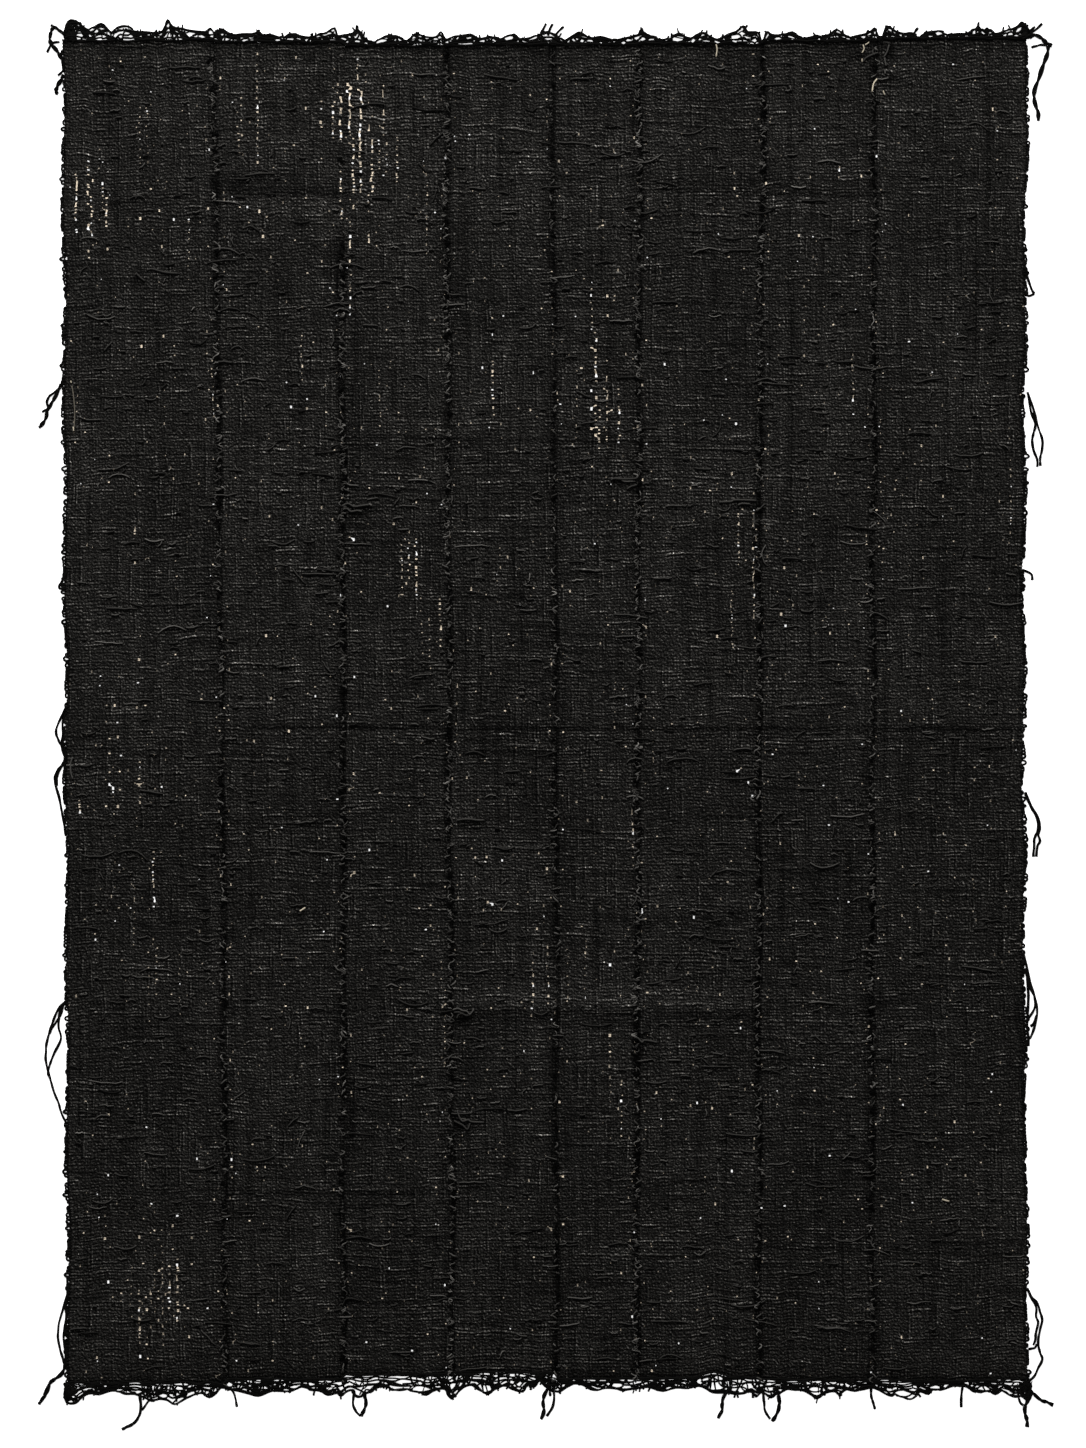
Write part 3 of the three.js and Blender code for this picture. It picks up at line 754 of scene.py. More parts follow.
def fold_share(fold, x):
    """How much of a fold is left at x: all of it between its ends, fading outside them."""
    return smoothstep((x - fold.start) / FOLD_FADE + 0.5) * smoothstep((fold.stop - x) / FOLD_FADE + 0.5)


def crest_at(fold, x):
    """Where a fold's crest runs at x."""
    return np.interp(x, (fold.start, fold.stop), (fold.left, fold.right))


def fold_lift(x, y):
    """How far the folds lift the cloth."""
    lift = np.zeros(np.broadcast(x, y).shape)
    for fold in FOLDS:
        t = np.clip((y - crest_at(fold, x)) / fold.half_width, -1, 1)
        lift += fold.rise * fold_share(fold, x) * 0.5 * (1 + np.cos(np.pi * t))
    return lift


def seam_share(number, y):
    """How plainly a seam shows at a height, up to 1."""
    if number != SUNKEN_SEAM.number:
        return 1
    _, sunken_from = on_cloth(0, SUNKEN_SEAM.py)
    return 1 - (1 - SUNKEN_SEAM.share) * smoothstep((y - sunken_from) / SEAM_FADE + 0.5)


def drawn_up(x):
    """How far the lower end has drawn up at x."""
    middle, _ = on_cloth(DRAWN_UP.px, 0)
    return DRAWN_UP.rise * bell(x - middle, DRAWN_UP.half_width)


def shade_at(shade, distance):
    """How deep a band is at a distance from the edge that it follows."""
    return shade.depth * bell(distance - shade.offset, shade.width)


def by_strength(law, strength):
    """A value that grows with strength."""
    return law.least + law.gain * strength


def spans_off(place, x, y):
    """How far a point is from the middle of a place, in the place's half sizes."""
    middle_x, middle_y = on_cloth(place.px, place.py)
    across = (x - middle_x) / (place.half_width * MM_PER_PX)
    up = (y - middle_y) / (place.half_height * MM_PER_PX)
    return np.hypot(across, up)


def smooth_path(points, steps=PATH_STEPS):
    """A smooth line through the points, with so many steps from each to the next."""
    points = np.asarray(points, float)
    padded = np.vstack([2 * points[0] - points[1], points, 2 * points[-1] - points[-2]])
    t = np.linspace(0, 1, steps, endpoint=False)[:, None]
    parts = []
    for a, b, c, d in zip(padded, padded[1:], padded[2:], padded[3:]):
        bend = (2 * a - 5 * b + 4 * c - d) * t**2 + (3 * b - a - 3 * c + d) * t**3
        parts.append(0.5 * (2 * b + (c - a) * t + bend))
    parts.append(points[-1:])
    return np.vstack(parts)


def put_in_scene(name, data):
    """A new object of a mesh, curve, light or camera, in the scene."""
    placed = bpy.data.objects.new(name, data)
    bpy.context.scene.collection.objects.link(placed)
    return placed


Strand = namedtuple("Strand", "points radius tone")


def spin_yarn(name, strands, material, roundness=YARN_ROUNDNESS):
    """Spin strands of yarn into one mesh, whose tone attribute has each strand's tone, dark on painted
    shadows.
    """
    curve = bpy.data.curves.new(name, "CURVE")
    curve.dimensions = "3D"
    curve.bevel_depth = MM
    curve.bevel_resolution = roundness
    curve.use_fill_caps = True
    for strand in strands:
        count = len(strand.points)
        spline = curve.splines.new("POLY")
        spline.points.add(count - 1)
        places = np.ones((count, 4))
        places[:, :3] = np.asarray(strand.points) * MM
        places[:, 2] = np.maximum(places[:, 2], strand.radius * MM)
        spline.points.foreach_set("co", places.ravel())
        spline.points.foreach_set("radius", np.broadcast_to(strand.radius, count).astype(float))
    path = put_in_scene(f"{name}_path", curve)
    spun = path.evaluated_get(bpy.context.evaluated_depsgraph_get())
    mesh = bpy.data.meshes.new_from_object(spun)
    bpy.data.objects.remove(path)
    bpy.data.curves.remove(curve)
    tones = np.array([strand.tone for strand in strands])
    counts = np.array([len(strand.points) for strand in strands])
    sides = len(mesh.vertices) // (counts.sum() + 2 * len(strands))
    capped = np.repeat(tones[::-1], 2 * sides)
    ringed = np.repeat(tones, counts * sides)
    tone = mesh.attributes.new("tone", "FLOAT", "POINT")
    tone.data.foreach_set("value", np.concatenate([capped, ringed]))
    bm = bmesh.new()
    bm.from_mesh(mesh)
    bmesh.ops.remove_doubles(bm, verts=bm.verts, dist=CAP_MERGE * MM)
    bm.to_mesh(mesh)
    bm.free()
    mesh.name = name
    mesh.materials.clear()
    mesh.materials.append(material)
    piece = put_in_scene(name, mesh)
    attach(piece, "root")
    return piece


class ClothSizes(bpy.types.PropertyGroup):
    """Sizes of the weave, the stitches and the strands."""

    weft_pitch: bpy.props.FloatProperty(
        name="Weft pitch", description="From one weft to the next", default=0.0037, unit="LENGTH"
    )
    warp_pitch: bpy.props.FloatProperty(
        name="Warp pitch", description="From one warp to the next", default=0.0042, unit="LENGTH"
    )
    rib_height: bpy.props.FloatProperty(
        name="Rib height", description="How deep the gaps between wefts are", default=0.0010, unit="LENGTH"
    )
    stitch_pitch: bpy.props.FloatProperty(
        name="Stitch pitch", description="From one seam stitch to the next", default=0.0075, unit="LENGTH"
    )
    stitch_width: bpy.props.FloatProperty(
        name="Stitch width", description="How wide a seam stitch reaches", default=0.0075, unit="LENGTH"
    )
    stitch_yarn: bpy.props.FloatProperty(
        name="Stitch yarn", description="Thickness of the sewing yarn", default=0.0016, unit="LENGTH"
    )
    fringe_yarn: bpy.props.FloatProperty(
        name="Fringe yarn", description="Thickness of a strand of the fringe", default=0.0024, unit="LENGTH"
    )
    loose_yarn: bpy.props.FloatProperty(
        name="Loose yarn", description="Thickness of a hanging thread", default=0.0030, unit="LENGTH"
    )
    slack_yarn: bpy.props.FloatProperty(
        name="Slack yarn", description="Thickness of yarn slack on the face", default=0.0012, unit="LENGTH"
    )


class ClothColours(bpy.types.PropertyGroup):
    """Colours of the yarns and of the floor."""

    dyed: bpy.props.FloatVectorProperty(
        name="Dyed yarn", description="Yarn dyed black", subtype="COLOR", default=(0.0095, 0.0091, 0.0084)
    )
    bare: bpy.props.FloatVectorProperty(
        name="Bare yarn", description="Yarn the dye missed", subtype="COLOR", default=(0.74, 0.63, 0.49)
    )
    undyed: bpy.props.FloatVectorProperty(
        name="Undyed yarn", description="Cream yarn", subtype="COLOR", default=(0.42, 0.37, 0.28)
    )
    floor: bpy.props.FloatVectorProperty(
        name="Floor", description="The white floor", subtype="COLOR", default=(0.92, 0.92, 0.92)
    )


def sizes():
    """The cloth's size settings."""
    return bpy.context.scene.mud_cloth_sizes


def colours():
    """The cloth's colour settings."""
    return bpy.context.scene.mud_cloth_colours


def feed(tree, socket, value):
    """Link a socket to another one, or set it to a plain value."""
    if isinstance(value, bpy.types.NodeSocket):
        tree.links.new(value, socket)
    else:
        socket.default_value = value


def add_node(tree, kind, inputs=None, **settings):
    """Add a node with its settings made and its inputs fed from sockets or plain values."""
    node = tree.nodes.new(kind)
    for name, value in settings.items():
        setattr(node, name, value)
    for name, value in (inputs or {}).items():
        feed(tree, node.inputs[name], value)
    return node


def math_node(tree, operation, *values):
    """Add a Math node of sockets or plain numbers, and return its output."""
    node = add_node(tree, "ShaderNodeMath", dict(enumerate(values)), operation=operation)
    return node.outputs["Value"]


def multiply_add(tree, vector, factor, addend):
    """Multiply one vector by another and add a third."""
    inputs = {0: vector, 1: factor, 2: addend}
    node = add_node(tree, "ShaderNodeVectorMath", inputs, operation="MULTIPLY_ADD")
    return node.outputs["Vector"]


def draw_for(tree, dimensions, *values):
    """A random value from 0 to 1 that is always the same for the same values."""
    cell = add_node(tree, "ShaderNodeCombineXYZ", dict(enumerate(values)))
    inputs = {"Vector": cell.outputs["Vector"]}
    return add_node(tree, "ShaderNodeTexWhiteNoise", inputs, noise_dimensions=dimensions).outputs["Value"]


def texture_group(name, settings):
    """A new node group that takes a place and settings, and gives a tone and a height for a bump."""
    group = bpy.data.node_groups.new(name, "ShaderNodeTree")
    group.interface.new_socket("Place", in_out="INPUT", socket_type="NodeSocketVector")
    for setting in settings:
        group.interface.new_socket(setting, in_out="INPUT", socket_type="NodeSocketFloat")
    for result in ("Tone", "Height"):
        group.interface.new_socket(result, in_out="OUTPUT", socket_type="NodeSocketFloat")
    entry = group.nodes.new("NodeGroupInput")
    leave = group.nodes.new("NodeGroupOutput")
    return group, entry.outputs, leave.inputs


def yarn_fibre_group():
    """A node group of fine fibre on the yarn, whose tone is about 1."""
    group = bpy.data.node_groups.get("yarn fibre")
    if group:
        return group
    group, entry, leave = texture_group("yarn fibre", ("Fineness", "Spread"))
    noise = {"Vector": entry["Place"], "Scale": entry["Fineness"], "Detail": 2}
    fibre = add_node(group, "ShaderNodeTexNoise", noise).outputs["Fac"]
    darkest = math_node(group, "MULTIPLY_ADD", entry["Spread"], -0.5, 1)
    feed(group, leave["Tone"], math_node(group, "MULTIPLY_ADD", fibre, entry["Spread"], darkest))
    feed(group, leave["Height"], fibre)
    return group


def add_fibre(tree, fineness, spread):
    """Add fine fibre to a material, and return the fibre's outputs."""
    place = tree.nodes.new("ShaderNodeTexCoord").outputs["Object"]
    inputs = {"Place": place, "Fineness": fineness, "Spread": spread}
    return add_node(tree, "ShaderNodeGroup", inputs, node_tree=yarn_fibre_group()).outputs


def matt_material(name, specular):
    """A new matt material, with its node tree and the inputs of its shader."""
    material = bpy.data.materials.new(name)
    material.use_nodes = True
    shader = material.node_tree.nodes["Principled BSDF"]
    shader.inputs["Roughness"].default_value = YARN_ROUGHNESS
    shader.inputs["Specular IOR Level"].default_value = specular
    return material, material.node_tree, shader.inputs


def tinted(tree, colour, light):
    """A colour made lighter or darker by its light and by the tone attribute."""
    depth = add_node(tree, "ShaderNodeAttribute", attribute_name="tone")
    scale = math_node(tree, "MULTIPLY", light, depth.outputs["Fac"])
    tint = add_node(tree, "ShaderNodeVectorMath", {0: colour, "Scale": scale}, operation="SCALE")
    return tint.outputs["Vector"]


def bumped(tree, height, bump):
    """The normal of a surface with bumps of a height."""
    inputs = {"Height": height, "Strength": bump.strength, "Distance": bump.distance}
    return add_node(tree, "ShaderNodeBump", inputs).outputs["Normal"]


def yarn_material(name, colour, look):
    """A matt yarn whose colour follows its tone attribute and fine fibre."""
    material = bpy.data.materials.get(name)
    if material:
        return material
    material, tree, shader = matt_material(name, look.specular)
    shader["Sheen Weight"].default_value = look.sheen
    shader["Sheen Roughness"].default_value = YARN_SHEEN_ROUGHNESS
    fibre = add_fibre(tree, look.fineness, look.spread)
    feed(tree, shader["Base Color"], tinted(tree, colour, fibre["Tone"]))
    feed(tree, shader["Normal"], bumped(tree, fibre["Height"], YARN_BUMP))
    return material


def dyed_yarn_material():
    """Black yarn of the stitches, the fringe and the loose threads."""
    return yarn_material("black_spun_yarn", colours().dyed, DYED_LOOK)


def undyed_yarn_material():
    """Cream yarn."""
    return yarn_material("cream_spun_yarn", colours().undyed, UNDYED_LOOK)


def proud_runs(tree, place, run):
    """Runs in which single yarns stand proud, with painted light on one side of the yarn and painted shade
    on the other.
    """
    along, across, whole, number = place
    offset = math_node(tree, "MULTIPLY", draw_for(tree, "2D", whole, number), run.reach)
    stagger = math_node(tree, "DIVIDE", math_node(tree, "ADD", along, offset), run.reach)
    draw = draw_for(tree, "3D", math_node(tree, "FLOOR", stagger), whole, number)
    over = math_node(tree, "MAXIMUM", math_node(tree, "SUBTRACT", draw, run.rarity), 0)
    from_tip = math_node(tree, "MULTIPLY", math_node(tree, "PINGPONG", stagger, 0.5), RUN_TAPER)
    strength = math_node(tree, "MULTIPLY", over, math_node(tree, "MINIMUM", from_tip, 1))
    strength = math_node(tree, "MULTIPLY", strength, run.contrast / (1 - run.rarity))
    side = math_node(tree, "SINE", math_node(tree, "MULTIPLY", across, math.pi))
    return math_node(tree, "MULTIPLY", strength, side)


def off_middle(tree, at):
    """How far a place is from the middle of its yarn, from -1 to 1."""
    return math_node(tree, "MULTIPLY", math_node(tree, "SUBTRACT", math_node(tree, "FRACT", at), 0.5), 2)


def rounded(tree, off):
    """How high a round yarn stands so far off its middle, up to 1."""
    return math_node(tree, "SUBTRACT", 1, math_node(tree, "MULTIPLY", off, off))


def emboss(tree, place, relief):
    """Noise that looks lit from one side: its own value less the value a step away."""
    lit = []
    for drop in (0, YARN_SHADE_DROP):
        step = (YARN_SHADE_SLANT * drop, drop, 0)
        nudged = multiply_add(tree, place, YARN_SHADE_SCALE, step)
        noise = {"Vector": nudged, "Scale": 1, "Detail": 2, "Roughness": YARN_SHADE_ROUGHNESS}
        lit.append(add_node(tree, "ShaderNodeTexNoise", noise).outputs["Fac"])
    return math_node(tree, "MULTIPLY", math_node(tree, "SUBTRACT", *lit), relief)


def plain_weave_group():
    """A node group of plain weave, with one warp and one weft to a unit of Place."""
    group = bpy.data.node_groups.get("plain weave")
    if group:
        return group
    group, entry, leave = texture_group("plain weave", ("Unevenness", "Painted emboss"))
    noise = {"Vector": entry["Place"], "Scale": WANDER_SCALE, "Detail": 1}
    wander = add_node(group, "ShaderNodeTexNoise", noise).outputs["Color"]
    place = multiply_add(group, wander, WANDER_REACH, entry["Place"])
    warp, weft, number = add_node(group, "ShaderNodeSeparateXYZ", {"Vector": place}).outputs
    whole_warp = math_node(group, "FLOOR", warp)
    whole_weft = math_node(group, "FLOOR", weft)
    off_warp = off_middle(group, warp)
    off_weft = off_middle(group, weft)
    warp_round = rounded(group, off_warp)
    weft_round = math_node(group, "POWER", rounded(group, off_weft), WEFT_SHARPNESS)
    weft_dip = math_node(group, "MULTIPLY_ADD", warp_round, WEFT_DIP, 1 - WEFT_DIP)
    weft_on_top = math_node(group, "MULTIPLY", weft_round, weft_dip)
    warp_sharp = math_node(group, "MULTIPLY", warp_round, warp_round)
    warp_on_top = math_node(group, "MULTIPLY", warp_sharp, WARP_HEIGHT)
    over = math_node(group, "FLOORED_MODULO", math_node(group, "ADD", whole_warp, whole_weft), 2)
    mostly_weft = math_node(group, "MULTIPLY_ADD", over, 1 - WEFT_UNDER_WARP, WEFT_UNDER_WARP)
    crossing = {"Factor": mostly_weft, "A": warp_on_top, "B": weft_on_top}
    raised = add_node(group, "ShaderNodeMix", crossing).outputs["Result"]
    # Painted light on one side of proud yarns, painted shade on the other
    weft_runs = proud_runs(group, (warp, off_weft, whole_weft, number), WEFT_RUN)
    warp_runs = proud_runs(group, (weft, off_warp, whole_warp, number), WARP_RUN)
    chance = math_node(group, "SUBTRACT", draw_for(group, "2D", whole_warp, whole_weft), 0.5)
    uneven = math_node(group, "MULTIPLY", chance, entry["Unevenness"])
    # Painted light and shade, as if lit from one side
    relief = emboss(group, place, entry["Painted emboss"])
    runs = math_node(group, "ADD", weft_runs, warp_runs)
    marks = math_node(group, "ADD", math_node(group, "ADD", uneven, relief), runs)
    # The tone follows the weave's height, as painted shade where yarns lie low
    shade = math_node(group, "MULTIPLY_ADD", raised, WEAVE_CONTRAST, WEAVE_DARKEST)
    tone = math_node(group, "MULTIPLY", shade, math_node(group, "POWER", math.e, marks))
    feed(group, leave["Tone"], tone)
    feed(group, leave["Height"], raised)
    return group


def dyed_cloth_material():
    """Black plain weave, with the bare attribute showing where the dye missed the yarn."""
    material = bpy.data.materials.get("black_woven_cloth")
    if material:
        return material
    material, tree, shader = matt_material("black_woven_cloth", CLOTH_SPECULAR)
    place = add_node(tree, "ShaderNodeAttribute", attribute_name="weave")
    weaving = {
        "Place": place.outputs["Vector"],
        "Unevenness": WEAVE_UNEVENNESS,
        "Painted emboss": WEAVE_PAINTED_EMBOSS,
    }
    weave = add_node(tree, "ShaderNodeGroup", weaving, node_tree=plain_weave_group()).outputs
    fibre = add_fibre(tree, CLOTH_FINENESS, CLOTH_SPREAD)
    yarn = math_node(tree, "MULTIPLY", weave["Tone"], fibre["Tone"])
    bare = add_node(tree, "ShaderNodeAttribute", attribute_name="bare")
    mixing = {
        "Factor": bare.outputs["Fac"],
        "A": tinted(tree, colours().dyed, yarn),
        "B": (*colours().bare, 1),
    }
    colour = add_node(tree, "ShaderNodeMix", mixing, data_type="RGBA")
    feed(tree, shader["Base Color"], colour.outputs["Result"])
    feed(tree, shader["Normal"], bumped(tree, weave["Height"], CLOTH_BUMP))
    return material


class Weave:
    """The rows and columns of one strip, in millimetres, on which its relief, tone and holes are laid."""

    def __init__(self, number):
        self.number = number
        self.rng = np.random.default_rng(STRIP_SEED + number)
        ends = STRIP_ENDS[number - 1]
        left = LONG_EDGES[number - 1]
        right = LONG_EDGES[number]
        self.width = right.middle - left.middle
        self.lower = ends.lower + LOWER_TRIM
        self.length = ends.upper - UPPER_TRIM - self.lower
        self.wefts = round(self.length / in_mm(sizes().weft_pitch))
        self.rows = 2 * self.wefts + 1
        self.columns = round(self.width / in_mm(sizes().warp_pitch)) + 3
        self.sewn_left = number > 1
        self.sewn_right = number < STRIP_COUNT
        self.row = np.arange(self.rows)[:, None]
        self.column = np.arange(self.columns)[None, :]
        self.on_weft = self.row % 2
        self.lay_out(left, right)
        self.wobble = self.uneven(CREASE_WOBBLE)
        self.vigour = CREASE_VIGOUR + self.uneven(CREASE_VARIETY)
        self.slubs = self.streaks(True, SLUBS)
        self.weft_gaps = self.streaks(True, WEFT_GAPS)
        self.warp_gaps = self.streaks(False, WARP_GAPS)

    def uneven(self, *layers):
        """Smooth noise over the strip's rows and columns, summed over its layers."""
        grid = (self.rng, self.rows, self.columns)
        return sum(layer.size * lattice_noise(*grid, layer.rows, layer.columns) for layer in layers)

    def weft_noise(self, ripple):
        """Noise that is each weft's own, smooth along it."""
        own = lattice_noise(self.rng, self.wefts + 1, self.columns, 1, ripple.cell)
        return ripple.size * np.repeat(own, 2, axis=0)[1 : self.rows + 1]

    def lay_out(self, left, right):
        """Place each warp on each row, and measure how far that is from the strip's edges."""
        share = self.row / (self.rows - 1)
        straight = self.lower + share * self.length
        near_lower = (1 - share) ** END_REACH
        near_upper = share**END_REACH
        ragged = END_UNEVENNESS * lattice_noise(self.rng, 2, self.columns, 1, END_COLUMNS)
        from_end = np.minimum(self.row, self.rows - 1 - self.row)
        wander = self.uneven(*WEFT_WANDER) + self.weft_noise(WEFT_WAVER)
        self.y = straight + (ragged[:1] * near_lower + ragged[1:] * near_upper)
        self.y = self.y + smoothstep(from_end / CALM_ROWS) * wander
        low = edge_at(left, straight) - SEAM_TUCK * self.sewn_left
        high = edge_at(right, straight) + SEAM_TUCK * self.sewn_right
        rolled = EDGE_ROLL / (2 * self.width)
        inner = np.linspace(rolled, 1 - rolled, self.columns - 2)
        across = np.concatenate([[0], inner, [1]])[None, :]
        sway = self.uneven(*WARP_SWAY)
        sway[:, 0] = 0
        sway[:, -1] = 0
        self.x = low + across * (high - low) + sway
        scallop = SELVEDGE_SCALLOP * (self.on_weft[:, 0] - SCALLOP_LEVEL)
        scallop = scallop + self.uneven(SELVEDGE_WAVER)[:, 0]
        if not self.sewn_left:
            self.x[:, 0] -= scallop
        if not self.sewn_right:
            self.x[:, -1] += scallop
        self.y += near_lower * drawn_up(self.x)
        self.from_left = self.x - low
        self.from_right = high - self.x
        self.from_end = from_end * (self.length / (self.rows - 1))

    def streaks(self, along_weft, kind):
        """Runs in single wefts or warps, each of its own strength and tapering at both ends."""
        runs = np.zeros((self.rows, self.columns))
        reach = self.columns if along_weft else self.rows
        for _ in range(kind.count):
            row = 1 + 2 * self.rng.integers(self.wefts)
            column = self.rng.integers(2, self.columns - 2)
            length = kind.shortest + self.rng.exponential(kind.average)
            start = self.rng.uniform(-0.5 * length, reach - 0.5 * length)
            t = (np.arange(reach) - start) / length
            run = self.rng.uniform(*STREAK_STRENGTH) * np.sqrt(np.clip(4 * t * (1 - t), 0, 1))
            if along_weft:
                runs[row] = np.maximum(runs[row], run)
            else:
                runs[:, column] = np.maximum(runs[:, column], run)
        return runs

    def creased(self, fold):
        """How sharply a fold is creased at each place."""
        begun = smoothstep((self.x - fold.creased_from) / FOLD_FADE + 0.5)
        return self.vigour * fold_share(fold, self.x) * begun

    def groove(self):
        """How near each place is to the line where a fold was pressed."""
        nearness = np.zeros((self.rows, self.columns))
        for fold in FOLDS:
            away = self.y - crest_at(fold, self.x) + self.wobble
            sharpness = (fold.rise / CREASE_FULL_RISE) ** CREASE_RISE_POWER
            nearness += sharpness * self.creased(fold) * bell(away, CREASE_WIDTH)
        return nearness

    def painted_fold_shade(self):
        """How much lighter or darker the folds' painted light and shade make the yarn."""
        light = np.zeros((self.rows, self.columns))
        for fold, crease in zip(FOLDS, PAINTED_FOLD_SHADES):
            away = self.y - crest_at(fold, self.x)
            slope = np.sin(np.pi * np.clip(away / fold.half_width, -1, 1))
            light += crease.step * fold_share(fold, self.x) * slope
            line = bell(away + self.wobble - crease.offset, crease.width)
            light -= crease.depth * self.creased(fold) * line
        return light

    def relief(self):
        """The height of the cloth's face."""
        rib = in_mm(sizes().rib_height) * (1 + self.uneven(RIB_VARIETY))
        over = 2 * ((self.row // 2 + self.column) % 2) - 1
        height = FACE_HEIGHT - rib * (1 - self.on_weft)
        height = height + self.on_weft * (WEFT_OVER_WARP * over + self.weft_noise(WEFT_LIFT))
        height = height + SLUB_HEIGHT * self.slubs + self.uneven(FACE_UNEVENNESS)
        height = height - GAP_DEPTH * self.weft_gaps - CREASE_DEPTH * self.groove()
        if self.sewn_right:
            ridge = SEAM_RIDGE * seam_share(self.number, self.y)
            height = height + ridge * bell(self.from_right - SEAM_RIDGE_INSET, SEAM_RIDGE_WIDTH)
        height = np.maximum(height, 2 * EDGE_HEIGHT)
        nearest = np.minimum(np.minimum(self.from_left, self.from_right), self.from_end)
        height = EDGE_HEIGHT + (height - EDGE_HEIGHT) * smoothstep(nearest / EDGE_ROLL)
        return height + fold_lift(self.x, self.y)

    def tone(self):
        """How light the dyed yarn is, about 1, with painted light and shade from folds, slubs, gaps, seams
        and snags.
        """
        light = self.uneven(*TONE_PATCHES) + self.weft_noise(WEFT_TONES)
        # Painted light and shade of the folds
        light = light + self.uneven(*WARP_TONES) + self.painted_fold_shade()
        # Slubs painted lighter, partly as a highlight, with a painted shadow below; gaps painted darker as
        # shade
        light = light + SLUB_LIGHT * self.slubs - SLUB_SHADOW * np.roll(self.slubs, -1, axis=0)
        light = light - WEFT_GAP_SHADE * self.weft_gaps - WARP_GAP_SHADE * self.warp_gaps
        light = light - sum(shade_at(shade, self.from_end) for shade in END_SHADES)
        # Painted shade beside the seams, uneven along them
        groove = 1 + self.uneven(Layer(SEAM_SHADE_VARIETY, SEAM_SHADE_ROWS, self.columns))
        if self.sewn_left:
            share = seam_share(self.number - 1, self.y)
            light = light - groove * share * shade_at(SHADE_RIGHT_OF_SEAM, self.from_left)
        if self.sewn_right:
            share = seam_share(self.number, self.y)
            light = light - groove * share * shade_at(SHADE_LEFT_OF_SEAM, self.from_right)
        # Painted shadows beside the snags
        for snag_shadow in SNAG_SHADOWS:
            light = light - SNAG_SHADOW_DEPTH * bell(spans_off(snag_shadow, self.x, self.y), SNAG_SHADOW_FADE)
        return np.exp(light)

    def hole_share(self):
        """The chance that the gap above each weft, at each warp, has worn open."""
        ladder = np.where(self.rng.random(self.columns) < LADDER_WARPS, *LADDER_GAINS)
        runs = lattice_noise(self.rng, self.wefts, self.columns, HOLE_RUN, 1)
        share = HOLE_SHARE * np.exp(HOLE_CLUSTERING * runs)
        if self.sewn_left:
            share = share + shade_at(HOLES_RIGHT_OF_SEAM, self.from_left[1::2])
        if self.sewn_right:
            share = share + shade_at(HOLES_LEFT_OF_SEAM, self.from_right[1::2])
        clustered = ladder * (1 + WORN_CLUSTERING * runs).clip(0)
        for worn in WORN_PLACES:
            nearness = bell(spans_off(worn, self.x[1::2], self.y[1::2]), WORN_FADE)
            share = share + WORN_STRENGTH * worn.share * clustered * nearness
        return share

    def pinholes(self):
        """Open the worn gaps: the faces to take out, and how bare the other worn faces are."""
        open_faces = np.zeros((self.rows - 1, self.columns - 1), bool)
        bare_faces = np.zeros((self.rows - 1, self.columns - 1))
        chance = self.hole_share()
        worn = np.argwhere(self.rng.random(chance.shape) < chance)
        spots = self.ladder_spots()
        for weft, column in worn:
            strength = STREWN_STRENGTH * self.rng.random() ** STREWN_RARITY
            spots.append((2 * weft + 1, column, strength))
        for row, column, strength in spots:
            tall = int(self.rng.random() < by_strength(PINHOLE_TALL, strength))
            draw = self.rng.uniform(*PINHOLE_DRAW) - PINHOLE_DRAW_LOSS * min(strength, 1)
            bareness = self.rng.uniform(*PINHOLE_BARENESS) * by_strength(PINHOLE_BARE, strength)
            worn_through = self.rng.random() < by_strength(PINHOLE_OPEN, strength)
            nudge = self.rng.normal(*PINHOLE_NUDGE, 2)
            down = slice(row, row + 1 + tall)
            beside = slice(column - 1, column + 2)
            inside = 2 < row < self.rows - 4 and 0 < column < self.columns - 2
            if not inside or open_faces[down, beside].any() or bare_faces[down, beside].any():
                continue
            corners = np.ix_(range(row, row + 2 + tall), (column, column + 1))
            self.x[corners] += draw * (self.x[corners].mean() - self.x[corners]) + nudge[0]
            upright = PINHOLE_DRAW_UPRIGHT * draw
            self.y[corners] += upright * (self.y[corners].mean() - self.y[corners]) + nudge[1]
            if worn_through:
                open_faces[down, column] = True
            else:
                bare_faces[down, column] = min(bareness, 1)
        return open_faces, bare_faces

    def ladder_spots(self):
        """Rows, columns and strengths of the pinholes whose places are known."""
        spots = []
        singles = [Ladder(px, py, py + 1, 2, PINHOLE_STRENGTH) for px, py in PINHOLES]
        for ladder in (*LADDERS, *singles):
            for py in np.arange(ladder.py, ladder.to_py, ladder.pitch):
                x, y = on_cloth(ladder.px, py + self.rng.normal(0, LADDER_JITTER * ladder.pitch))
                missing = self.rng.random() < LADDER_MISSING
                own = ladder.strength * self.rng.uniform(*LADDER_STRENGTH)
                row = round((y - self.lower) / self.length * (self.rows - 1)) // 2 * 2 + 1
                row = min(max(row, 0), self.rows - 1)
                column = int(np.argmin(np.abs(self.x[row] - x - self.rng.normal(*LADDER_SWAY))))
                if abs(self.x[row, column] - x) < in_mm(sizes().warp_pitch) and not missing:
                    spots.append((row, column, own))
        return spots


